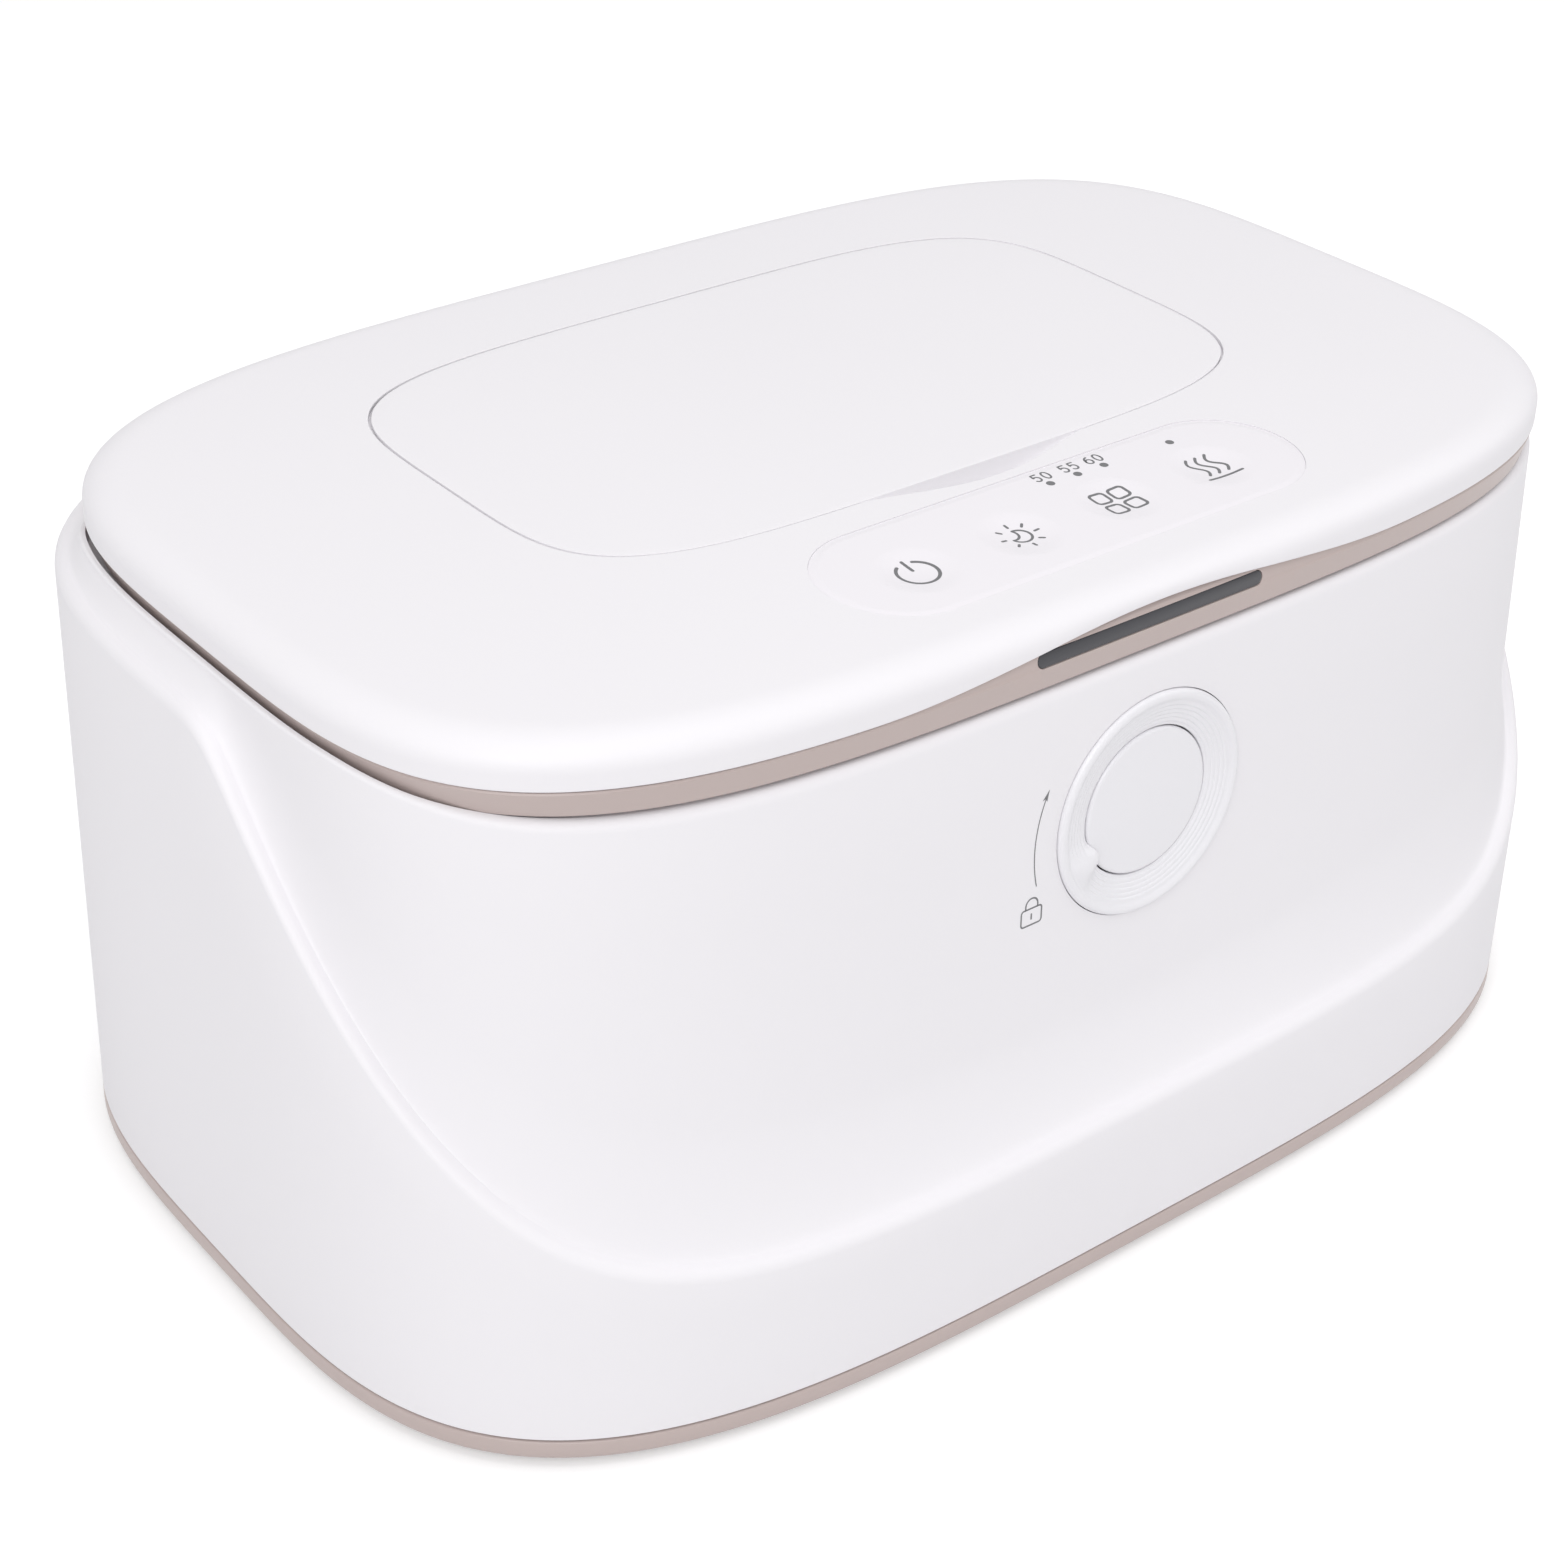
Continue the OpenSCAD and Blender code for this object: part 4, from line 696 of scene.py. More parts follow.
@dataclass
class Print:
    """Thin strokes laid on a surface: each is a line of points with a width."""

    name: str
    surface: Callable[[np.ndarray], np.ndarray]
    verts: list = field(default_factory=list)
    faces: list = field(default_factory=list)

    def stroke(self, points: Sequence[tuple[float, float]], width: float, closed: bool = False, step: float = 0.25) -> None:
        """Add one stroke with round ends.

        Args:
            points: Points in the flat frame of the surface, millimetres.
            width: Width of the stroke.
            closed: Whether the line closes on itself.
            step: Longest stretch between two crossings.
        """
        path = self._resample(np.array(points, float), closed, step)
        count = len(path)
        ahead = np.roll(path, -1, axis=0) - path
        behind = path - np.roll(path, 1, axis=0)
        if not closed:
            ahead[-1], behind[0] = behind[-1], ahead[0]
        way = ahead / np.linalg.norm(ahead, axis=1)[:, None] + behind / np.linalg.norm(behind, axis=1)[:, None]
        way /= np.linalg.norm(way, axis=1)[:, None] + 1e-12
        side = np.stack([-way[:, 1], way[:, 0]], axis=1) * width / 2
        base = len(self.verts)
        for p, s in zip(path, side):
            self.verts += [p + s, p, p - s]
        for i in range(count if closed else count - 1):
            a, b = base + 3 * i, base + 3 * ((i + 1) % count)
            self.faces += [(a, a + 1, b + 1, b), (a + 1, a + 2, b + 2, b + 1)]
        if not closed:
            self._cap(path[0], -way[0], width / 2)
            self._cap(path[-1], way[-1], width / 2)

    def fill(self, points: Sequence[tuple[float, float]]) -> None:
        """Add a filled outline as a fan around its middle."""
        ring = np.array(points, float)
        base = len(self.verts)
        self.verts += [ring.mean(axis=0), *ring]
        count = len(ring)
        self.faces += [(base, base + 1 + i, base + 1 + (i + 1) % count) for i in range(count)]

    def _cap(self, middle: np.ndarray, way: np.ndarray, radius: float) -> None:
        """Round off the end of a stroke."""
        start = math.atan2(way[1], way[0]) - math.pi / 2
        ring = [middle + radius * np.array([math.cos(start + math.pi * k / 6), math.sin(start + math.pi * k / 6)]) for k in range(7)]
        base = len(self.verts)
        self.verts += [middle, *ring]
        self.faces += [(base, base + 1 + i, base + 2 + i) for i in range(6)]

    @staticmethod
    def _resample(path: np.ndarray, closed: bool, step: float) -> np.ndarray:
        """Add points so that no stretch is longer than step."""
        ends = np.roll(path, -1, axis=0) if closed else path[1:]
        starts = path if closed else path[:-1]
        out = []
        for a, b in zip(starts, ends):
            if np.linalg.norm(b - a) < 1e-6:
                continue
            parts = max(1, math.ceil(float(np.linalg.norm(b - a)) / step))
            out += [a + (b - a) * k / parts for k in range(parts)]
        if not closed:
            out.append(path[-1])
        return np.array(out)

    def make(self, body: str) -> bpy.types.Object:
        """Lay the strokes on the surface and return the piece, riding on the body."""
        flat = np.array(self.verts, float)
        obj = finish_mesh(self.name, self.surface(flat), self.faces, 80.0)
        obj.data.materials.append(print_material())
        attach(obj, body)
        LOG.info("print %s on %s, %d faces", obj.name, body, len(obj.data.polygons))
        return obj


def circle(cx: float, cy: float, r: float, a0: float = 0.0, a1: float = 360.0, steps: int = 48) -> list[tuple[float, float]]:
    """Points on a circle from a0 to a1 degrees; the last is left off a full circle."""
    full = abs(a1 - a0) >= 360.0
    count = steps if full else steps + 1
    return [
        (cx + r * math.cos(math.radians(a0 + (a1 - a0) * k / steps)), cy + r * math.sin(math.radians(a0 + (a1 - a0) * k / steps)))
        for k in range(count)
    ]


def soft_square(cx: float, cy: float, w: float, h: float, r: float) -> list[tuple[float, float]]:
    """Outline of a rectangle with round corners."""
    points: list[tuple[float, float]] = []
    for sx, sy, start in ((1, 1, 0), (-1, 1, 90), (-1, -1, 180), (1, -1, 270)):
        points += circle(cx + sx * (w / 2 - r), cy + sy * (h / 2 - r), r, start, start + 90, 6)
    return points


DIGITS: dict[str, list[list[tuple[float, float]]]] = {
    "0": [[(0.5 + 0.36 * math.cos(t), 0.5 + 0.5 * math.sin(t)) for t in np.linspace(0, 2 * math.pi, 25)]],
    "5": [[(0.82, 1.0), (0.26, 1.0), (0.2, 0.56)]
          + [(0.46 + 0.37 * math.cos(t), 0.33 + 0.33 * math.sin(t)) for t in np.linspace(2.3, -2.5, 20)]],
    "6": [[(0.72, 0.98), (0.42, 0.88), (0.22, 0.66), (0.13, 0.36)],
          [(0.5 + 0.37 * math.cos(t), 0.32 + 0.32 * math.sin(t)) for t in np.linspace(0, 2 * math.pi, 23)]],
}


# Sub-assemblies


@dataclass
class Housing:
    """The two-tier moulded housing with its ledge, its ring opening and the rear hinge lugs."""

    shape: Shape = SHAPE
    count: int = 480
    crest_r: float = 1.9
    ring_hole: float = 18.22
    hinge: tuple[float, float] = (73.0, 106.0)
    barrel_r: float = 2.4
    hinge_x: float = 42.0
    knuckle: float = 7.0
    lug: float = 4.7
    lug_gap: float = 0.3
    brow_up: float = 3.4
    brow_out: float = 1.7
    jack: tuple[float, float, float] = (40.0, 79.6, 19.1)

    def rows(self) -> list[np.ndarray]:
        """Rings of the housing from its foot, up over the ledge to the deck and back down inside."""
        s, ang = self.shape, columns(self.count)
        c, k = s.crest(ang), s.corner(ang)
        b = s.brow(ang)
        rim, out = s.deck_z + self.brow_up * b, self.brow_out * b
        k = np.minimum(k + 3.0 * b, rim - 0.6)
        top = np.minimum(k + 6.0, s.ledge_z + 0.25 + self.brow_up * b)
        r = np.clip(s.deck_z - np.minimum(top, s.ledge_z + 0.25) - 0.05, 0.5, 1.6) * (1 - b) + 0.45 * b
        edge = Outline(101.9, 59.38, 4.0, s.tank_y).at(ang)
        rows = [s.lower(ang, s.shell_z, 0.25), s.lower(ang, s.shell_z + 0.25), s.lower(ang, s.shell_z + 4)]
        rows += [mix(s.lower(ang, s.shell_z + 4), s.lower(ang, c - self.crest_r), t) for t in (0.25, 0.5, 0.75)]
        for step in range(6):
            a = math.radians(90 * step / 5)
            inset = self.crest_r * (1 - math.cos(a))
            rows.append(self._moved(s.lower(ang, c - self.crest_r, inset), c - self.crest_r * (1 - math.sin(a))))
        start, bend, end = s.lower(ang, c, self.crest_r), s.upper(ang, k, -out), s.upper(ang, top, -out)
        flat = mix(start, s.upper(ang, c + 0.6, -out), 0.45)
        for t in np.linspace(0.06, 1.0, 16):
            low, mid, high = mix(start, flat, t), mix(flat, bend, t), mix(bend, end, t)
            rows.append(mix(mix(low, mid, t), mix(mid, high, t), t))
        rows += [mix(end, s.upper(ang, rim - r, -out), t) for t in (0.33, 0.66, 1.0)]
        for step in range(1, 7):
            a = math.radians(90 * step / 6)
            ring = s.upper(ang, rim - r, r * (1 - math.cos(a)) - out)
            rows.append(self._moved(ring, rim - r * (1 - math.sin(a))))
        face = s.upper(ang, rim - r, r * (1 - b) + 0.9 * b - out)
        rows += [self._moved(face, rim), self._moved(face, s.deck_z + 0 * rim)]
        rows += [lift(edge, s.deck_z), lift(edge, s.deck_z - 2.2), s.upper(ang, s.deck_z - 2.2, s.wall)]
        rows += [self._inner_corner(ang, s.corner(ang)), s.lower(ang, c - s.wall, s.wall), s.lower(ang, s.shell_z, s.wall)]
        return rows

    def _inner_corner(self, ang: np.ndarray, k: np.ndarray) -> np.ndarray:
        """Inside of the ledge, a wall's thickness below it."""
        s = self.shape
        return s.upper(ang, np.minimum(k, s.deck_z - 2.2) - s.wall / 2, s.wall)

    @staticmethod
    def _moved(ring: np.ndarray, z: np.ndarray) -> np.ndarray:
        """The same ring at another height."""
        out = ring.copy()
        out[:, 2] = z
        return out

    def build(self) -> bpy.types.Object:
        """Make and dress the housing."""
        s = self.shape
        body = skin("housing_skin", self.rows(), True, 28.0)
        carve(body, self._lugs(), "UNION")
        out = s.knob_matrix()
        hole = rod_mesh("ring_hole", out @ Vector((0, 0, -0.006)) / MM, out @ Vector((0, 0, 0.004)) / MM, self.ring_hole, 256)
        x, y, z = self.jack
        inlet = rod_mesh("inlet_hole", (x, y - 6, z), (x, y + 6, z), 4.2)
        slot = prism("hook_slot", [(-7.5, -68.5), (7.5, -68.5), (7.5, -60.5), (-7.5, -60.5)], 100.2, 104.8)
        pins = [rod_mesh(f"pin_hole_{k}", (x0 - 20, *self.hinge), (x0 + 20, *self.hinge), 1.55, 48) for k, x0 in enumerate((-self.hinge_x, self.hinge_x))]
        carve(body, [hole, inlet, slot, *pins])
        return dress(body, WHITE_SHELL, "warmer_base", "outer_housing")

    def _lugs(self) -> list[bpy.types.Object]:
        """Hinge lugs on the rear ledge, each a barrel on a foot."""
        made = []
        y, z = self.hinge
        for side in (-1, 1):
            for turn in (-1, 1):
                mid = side * self.hinge_x + turn * (self.knuckle + self.lug_gap + self.lug / 2)
                ring = [(y + self.barrel_r * math.cos(t), z + self.barrel_r * math.sin(t)) for t in np.linspace(0, math.radians(205), 40)]
                ring += [(y - 1.0, z - 1.4), (y - 1.0, 102.6), (y + self.barrel_r, 102.6)]
                verts = [(mid - self.lug / 2, p, q) for p, q in ring] + [(mid + self.lug / 2, p, q) for p, q in ring]
                n = len(ring)
                faces: list[Sequence[int]] = [(i, (i + 1) % n, n + (i + 1) % n, n + i) for i in range(n)]
                faces += [list(range(n)), list(range(2 * n - 1, n - 1, -1))]
                made.append(finish_mesh(f"lug_{side}_{turn}", np.array(verts), faces))
        return made


@dataclass
class BaseRim:
    """The coloured base with its rim."""

    shape: Shape = SHAPE
    count: int = 480

    def build(self) -> bpy.types.Object:
        """Make and dress the base."""
        s, ang = self.shape, columns(self.count)
        rows = [s.lower(ang, s.base_z, 1.0)]
        for step in range(6):
            a = math.radians(90 * step / 5)
            rows.append(self._at(s.lower(ang, s.base_z, 0.8 * (1 - math.sin(a))), s.base_z + 0.8 * (1 - math.cos(a))))
        rows.append(s.lower(ang, s.rim_top - 0.35))
        for step in range(1, 5):
            a = math.radians(90 * step / 4)
            rows.append(self._at(s.lower(ang, s.rim_top, 0.35 * (1 - math.cos(a))), s.rim_top - 0.35 * (1 - math.sin(a))))
        flat = Outline(120 - 2.7, 80.6 - 2.7, 3.66)
        inner = Outline(120 - 4.6, 80.6 - 4.6, 3.66)
        rows += [lift(flat.at(ang), s.rim_top), lift(flat.at(ang), s.rim_top + 3.5)]
        rows += [lift(inner.at(ang), s.rim_top + 3.5), lift(inner.at(ang), 4.0)]
        obj = skin("base_tray", rows, False)
        tools = []
        for sx in (-1, 1):
            for sy in (-1, 1):
                tools.append(rod_mesh("seat", (sx * 84, sy * 46, 0), (sx * 84, sy * 46, 2.8), 7.6))
                tools.append(rod_mesh("head", (sx * 97, sy * 56, 0), (sx * 97, sy * 56, 2.8), 3.1, 64))
                tools.append(rod_mesh("shank", (sx * 97, sy * 56, 2), (sx * 97, sy * 56, 6), 1.7, 48))
        carve(obj, tools)
        return dress(obj, ROSE_BEIGE, "warmer_base", "base_plate")

    @staticmethod
    def _at(ring: np.ndarray, z: float) -> np.ndarray:
        """The same ring at another height."""
        out = ring.copy()
        out[:, 2] = z
        return out


@dataclass
class WipesTank:
    """The tank that holds the wipes, with its lip and rounded floor."""

    shape: Shape = SHAPE
    count: int = 240

    def build(self) -> bpy.types.Object:
        """Make and dress the tank."""
        s, ang = self.shape, columns(self.count)
        z, f, t = 31.0, 5.0, 2.0
        rows = []
        for step in range(9):
            a = math.radians(90 * step / 8)
            rows.append(s.tank(ang, z + f * (1 - math.cos(a)), f * (1 - math.sin(a))))
        rows += [s.tank(ang, s.deck_z), s.tank(ang, s.deck_z, -3.2), s.tank(ang, s.deck_z + 0.3, -3.4)]
        rows += [s.tank(ang, s.deck_z + 0.8, -3.4), s.tank(ang, s.deck_z + 1.2, -3.0), s.tank(ang, s.deck_z + 1.2, t - 0.6)]
        rows += [s.tank(ang, s.deck_z + 1.0, t - 0.15), s.tank(ang, s.deck_z + 0.5, t)]
        g = f - t
        for step in range(9):
            a = math.radians(90 * step / 8)
            rows.append(s.tank(ang, z + t + g * (1 - math.sin(a)), t + g * (1 - math.cos(a))))
        obj = skin("wipes_tank_shell", rows, False)
        return dress(obj, TANK_WHITE, "warmer_base", "wipes_tank")


@dataclass
class LidShell:
    """The white lid: a rounded crowned top with the door well, panel pocket and finger recess."""

    shape: Shape = SHAPE
    count: int = 480
    round_r: float = 5.8
    thick: float = 2.4
    gap: tuple[float, float] = (0.2, 0.42)
    edge: float = 0.06
    rebate: float = 0.9
    panel: tuple[float, float, float, float] = (1.7, -48.7, 89.0, 25.2)

    def rows(self) -> list[np.ndarray]:
        """Rings of the lid from its lower edge, over the crown into the well and back inside."""
        s, ang = self.shape, columns(self.count)
        e = s.edge_z + 0.9 * s.scoop(ang)
        start = np.maximum(s.spring_z, e + 0.3)
        shoulder = s.on_lid(s.lid.at(ang, self.round_r))
        rise = shoulder[:, 2] - start
        tuck = 0.3 * np.clip((s.scoop(ang) - 2.2) / 1.5, 0, 1)
        rows = [lift(s.lid.at(ang, 0.25 + tuck), e), lift(s.lid.at(ang, tuck), e + 0.25)]
        for step in range(0, 15):
            a = math.radians(90 * step / 14)
            inset = self.round_r * (1 - math.cos(a)) ** 1.15 + tuck * (1 - math.sin(a)) ** 1.5
            rows.append(lift(s.lid.at(ang, inset), start + rise * math.sin(a)))
        inner, apron = s.lid.at(ang, self.round_r), s.door.at(ang, -7.0)
        rows += [s.on_lid(mix(inner, apron, t)) for t in np.linspace(0.06, 1.0, 18)]
        rear, bow = s.behind(ang), s.bow(ang)
        ends = np.clip((np.abs(s.door.at(ang)[:, 0]) - 56.0) / 9.0, 0, 1)
        gap = self.gap[0] + (self.gap[1] - self.gap[0]) * np.maximum(rear, ends)
        lip = gap + self.edge + bow
        rows += [s.on_lid(s.door.at(ang, -(6.6 + (lip - 6.6) * t))) for t in np.linspace(0.0, 0.95, 14)]
        rows.append(s.on_lid(s.door.at(ang, -lip)))
        for step in range(1, 4):
            a = math.radians(90 * step / 3)
            rows.append(s.on_lid(s.door.at(ang, self.edge * math.sin(a) - lip), self.edge * (1 - math.cos(a))))
        drop = 0.75 + (s.bow_deep - 0.15) * bow / s.bow_reach
        seat = self.rebate * (1 - rear) - gap * rear
        rows += [s.on_lid(s.door.at(ang, -gap - bow), drop), s.on_lid(s.door.at(ang, seat), drop)]
        rows.append(lift(s.door.at(ang, seat), s.well_z))
        rows += [lift(s.gasket.at(ang), s.well_z), lift(s.gasket.at(ang), s.well_z - 1.8)]
        out = s.door.at(ang, -gap - bow - 2)
        under = s.on_lid(out, self.thick)
        rows += [lift(out, s.well_z - 1.8), under, s.on_lid(s.lid.at(ang, self.thick + 2.8), self.thick)]
        rows += [lift(s.lid.at(ang, self.thick), start), lift(s.lid.at(ang, self.thick), e)]
        return rows

    def build(self) -> bpy.types.Object:
        """Make and dress the lid."""
        s = self.shape
        lid = skin("lid_skin", self.rows(), True, 40.0)
        added = self._arm_bosses()
        for x0 in (-42.0, 42.0):
            added.append(rod_mesh("knuckle", (x0 - 7, 73, 106), (x0 + 7, 73, 106), 2.4))
            added.append(block("knuckle_web", (x0 - 7, 69.95, 106.0), (x0 + 7, 72.9, 109.85)))
        carve(lid, added, "UNION")
        x, y, w, h = self.panel
        tools = [prism("panel_pocket", capsule(x, y, w + 0.05, h + 0.05, 48), 115.0, 118.0), *self._arm_space()]
        for x0 in (-42.0, 42.0):
            tools.append(rod_mesh("pin_hole", (x0 - 20, 73, 106), (x0 + 20, 73, 106), 1.55, 48))
            for turn in (-1, 1):
                mid = x0 + turn * 9.75
                tools.append(rod_mesh("lug_space", (mid - 2.75, 73, 106), (mid + 2.75, 73, 106), 2.9))
        carve(lid, tools)
        return dress(lid, WHITE_SHELL, "lid", "lid_shell")

    def _arm_bosses(self) -> list[bpy.types.Object]:
        """Bosses for the pins of the door, under the skin behind the well."""
        s = self.shape
        y, z = s.arm
        top = float(s.lid_top(0.0, y)) - 0.5
        made = []
        for side in (-1, 1):
            for turn in (-1, 1):
                mid = side * s.arm_x + turn * (s.arm_half + 2.05)
                made.append(block("arm_boss", (mid - 1.75, y - 1.7, z - 1.9), (mid + 1.75, y + 2.1, top)))
        return made

    def _arm_space(self) -> list[bpy.types.Object]:
        """Pockets for the door's arms and bores for its pins."""
        s = self.shape
        y, z = s.arm
        made = []
        for side in (-1, 1):
            x0, x1 = side * s.arm_x - s.arm_half - 0.3, side * s.arm_x + s.arm_half + 0.3
            made.append(block("arm_pocket", (x0, y - 5.93, z - s.arm_low - 0.3), (x1, y + 1.25, z + 1.25)))
            made.append(rod_mesh("arm_pin_hole", (x0 - 4.5, y, z), (x1 + 4.5, y, z), 0.55, 32))
        return made


@dataclass
class LidFrame:
    """The coloured frame around the lid, raised over the window."""

    shape: Shape = SHAPE
    count: int = 480
    window: tuple[float, float, float] = (-1.6, 43.8, 2.25)
    bevel_from: float = 2.3
    bevel: float = 0.85

    def rows(self) -> list[np.ndarray]:
        """Rings of the frame."""
        s, ang = self.shape, columns(self.count)
        rise = s.scoop(ang)
        low, high = Outline(111.4, 71.0, 3.9, 0.3), Outline(112.6, 71.6, 3.9, 0.3)
        rows = [lift(low.at(ang, 0.4), s.frame_z)]
        for step in range(1, 5):
            a = math.radians(90 * step / 4)
            rows.append(lift(low.at(ang, 0.4 * (1 - math.sin(a))), s.frame_z + 0.4 * (1 - math.cos(a))))
        rows += [lift(high.at(ang, 0.1), s.frame_top - 0.3), lift(high.at(ang, 0.2), s.frame_top - 0.1)]
        for t in np.linspace(0.08, 1.0, 22):
            rows.append(self._leant(high, ang, rise * t, rise * 0.2 * t * t))
        rows += [lift(high.at(ang, 3.2), s.frame_top + rise), lift(low.at(ang, 3.2), s.frame_z)]
        return rows

    def _leant(self, high: Outline, ang: np.ndarray, up: np.ndarray, lean: np.ndarray) -> np.ndarray:
        """A ring of the raised front, which leans back more over the window."""
        over = np.maximum(0.0, up - self.bevel_from)
        ring = high.at(ang, 0.3)
        ring[:, 1] += lean + self.bevel * over
        return lift(ring, self.shape.frame_top + up)

    def build(self) -> bpy.types.Object:
        """Make and dress the frame."""
        s = self.shape
        obj = skin("lid_frame_ring", self.rows())
        x, w, h = self.window
        tools = [self._upright_slot("window_seat", x, w + 0.12, h + 0.12, -76.0, -68.5)]
        tools.append(self._upright_slot("window_light", x, w - 8, h - 1.2, -70.0, -60.0))
        for x0 in (-42.0, 42.0):
            tools.append(prism("knuckle_space", [(x0 - 7.15, 69.8), (x0 + 7.15, 69.8), (x0 + 7.15, 77), (x0 - 7.15, 77)], 105.85, 112.0))
            tools.append(rod_mesh("barrel_space", (x0 - 7.5, 73, 106), (x0 + 7.5, 73, 106), 2.55))
            for turn in (-1, 1):
                mid = x0 + turn * 9.75
                tools.append(rod_mesh("lug_space", (mid - 2.75, 73, 106), (mid + 2.75, 73, 106), 2.9))
        carve(obj, tools)
        return dress(obj, ROSE_BEIGE, "lid", "lid_frame")

    def _upright_slot(self, name: str, x: float, w: float, h: float, y0: float, y1: float) -> bpy.types.Object:
        """A slot with round ends that runs along Y at the window's height."""
        obj = prism(name, capsule(x, 0, w, h), y0, y1)
        obj.data.transform(Matrix.Translation((0, 0, (self.shape.frame_top + 0.8) * MM)) @ Matrix(((1, 0, 0, 0), (0, 0, 1, 0), (0, -1, 0, 0), (0, 0, 0, 1))))
        return obj


@dataclass
class WindowLens:
    """The smoked indicator window with softened edges."""

    shape: Shape = SHAPE
    middle: float = -1.6
    width: float = 43.8
    height: float = 2.25
    front: float = -71.1
    lean: float = 0.42
    deep: float = 1.9

    def build(self) -> bpy.types.Object:
        """Make and dress the window."""
        z = self.shape.frame_top + 0.8
        rows = []
        for inset, depth in ((0.3, 0.0), (0.08, 0.05), (0.0, 0.18), (0.0, self.deep)):
            ring = capsule(self.middle, 0, self.width - 2 * inset, self.height - 2 * inset, 32)
            share = [q / self.height + 0.5 for _, q in ring]
            rows.append(np.array([(x, self.front + depth + self.lean * t, z + q) for (x, q), t in zip(ring, share)]))
        obj = skin("window_lens", rows, False)
        return dress(obj, SMOKE_WINDOW, "lid", "indicator_window")


@dataclass
class DispenserDoor:
    """The flip-up door with its rim and its two hinge arms."""

    shape: Shape = SHAPE
    count: int = 480
    edge: float = 0.1
    rim: float = 0.55

    def build(self) -> bpy.types.Object:
        """Make and dress the door, with its scooped finger lip in front."""
        s, ang = self.shape, columns(self.count)
        under = s.well_z + 2.8
        middle = np.broadcast_to(np.array([0.0, s.door.y]), (self.count, 2))
        rows = [lift(s.door.at(ang, 4.6), under), lift(s.door.at(ang, 4.6), under - 1.8)]
        rows += [lift(s.door.at(ang, 3), under - 1.8), lift(s.door.at(ang, 3), under)]
        neck, bow = 1.4 - 0.6 * s.behind(ang), s.bow(ang)
        share = bow / s.bow_reach
        low = self.rim + (s.bow_deep - 0.25) * share
        rows += [lift(s.door.at(ang, neck), under), s.on_lid(s.door.at(ang, neck), low), s.on_lid(s.door.at(ang, -bow), low)]
        for t in 1 - np.linspace(1.0, 0.0, 14) ** 2:
            fall = self.edge + (s.bow_deep - self.edge) * share * (1 - t**7)
            rows.append(s.on_lid(s.door.at(ang, -bow * (1 - t)), fall))
        for step in range(1, 6):
            a = math.radians(90 * step / 5)
            rows.append(s.on_lid(s.door.at(ang, self.edge * (1 - math.cos(a))), self.edge * (1 - math.sin(a))))
        rows += [s.on_lid(mix(s.door.at(ang, self.edge), middle, t)) for t in np.linspace(0.03, 0.97, 24)]
        obj = skin("door_plate", rows, False, 40.0)
        carve(obj, self._arms(under), "UNION")
        y, z = s.arm
        carve(obj, [rod_mesh("pin_hole", (side * s.arm_x - 6, y, z), (side * s.arm_x + 6, y, z), 0.55, 32) for side in (-1, 1)])
        return dress(obj, WHITE_SHELL, "door", "door_panel")

    def _arms(self, under: float) -> list[bpy.types.Object]:
        """The arms that reach under the edge of the lid to the pins."""
        s = self.shape
        y, z = s.arm
        half, low, reach, t = s.arm_half, s.arm_low, s.arm_reach, 1.1
        made = []
        for mid in (-s.arm_x, s.arm_x):
            made.append(block("arm_rise", (mid - half, y - reach, z - low), (mid + half, y - reach + t, under + 0.2)))
            made.append(block("arm_run", (mid - half, y - reach, z - low), (mid + half, y + t / 2, z - low + t)))
            made.append(block("arm_neck", (mid - half, y - t / 2, z - low), (mid + half, y + t / 2, z)))
            made.append(rod_mesh("arm_eye", (mid - half, y, z), (mid + half, y, z), s.arm_eye, 48))
        return made


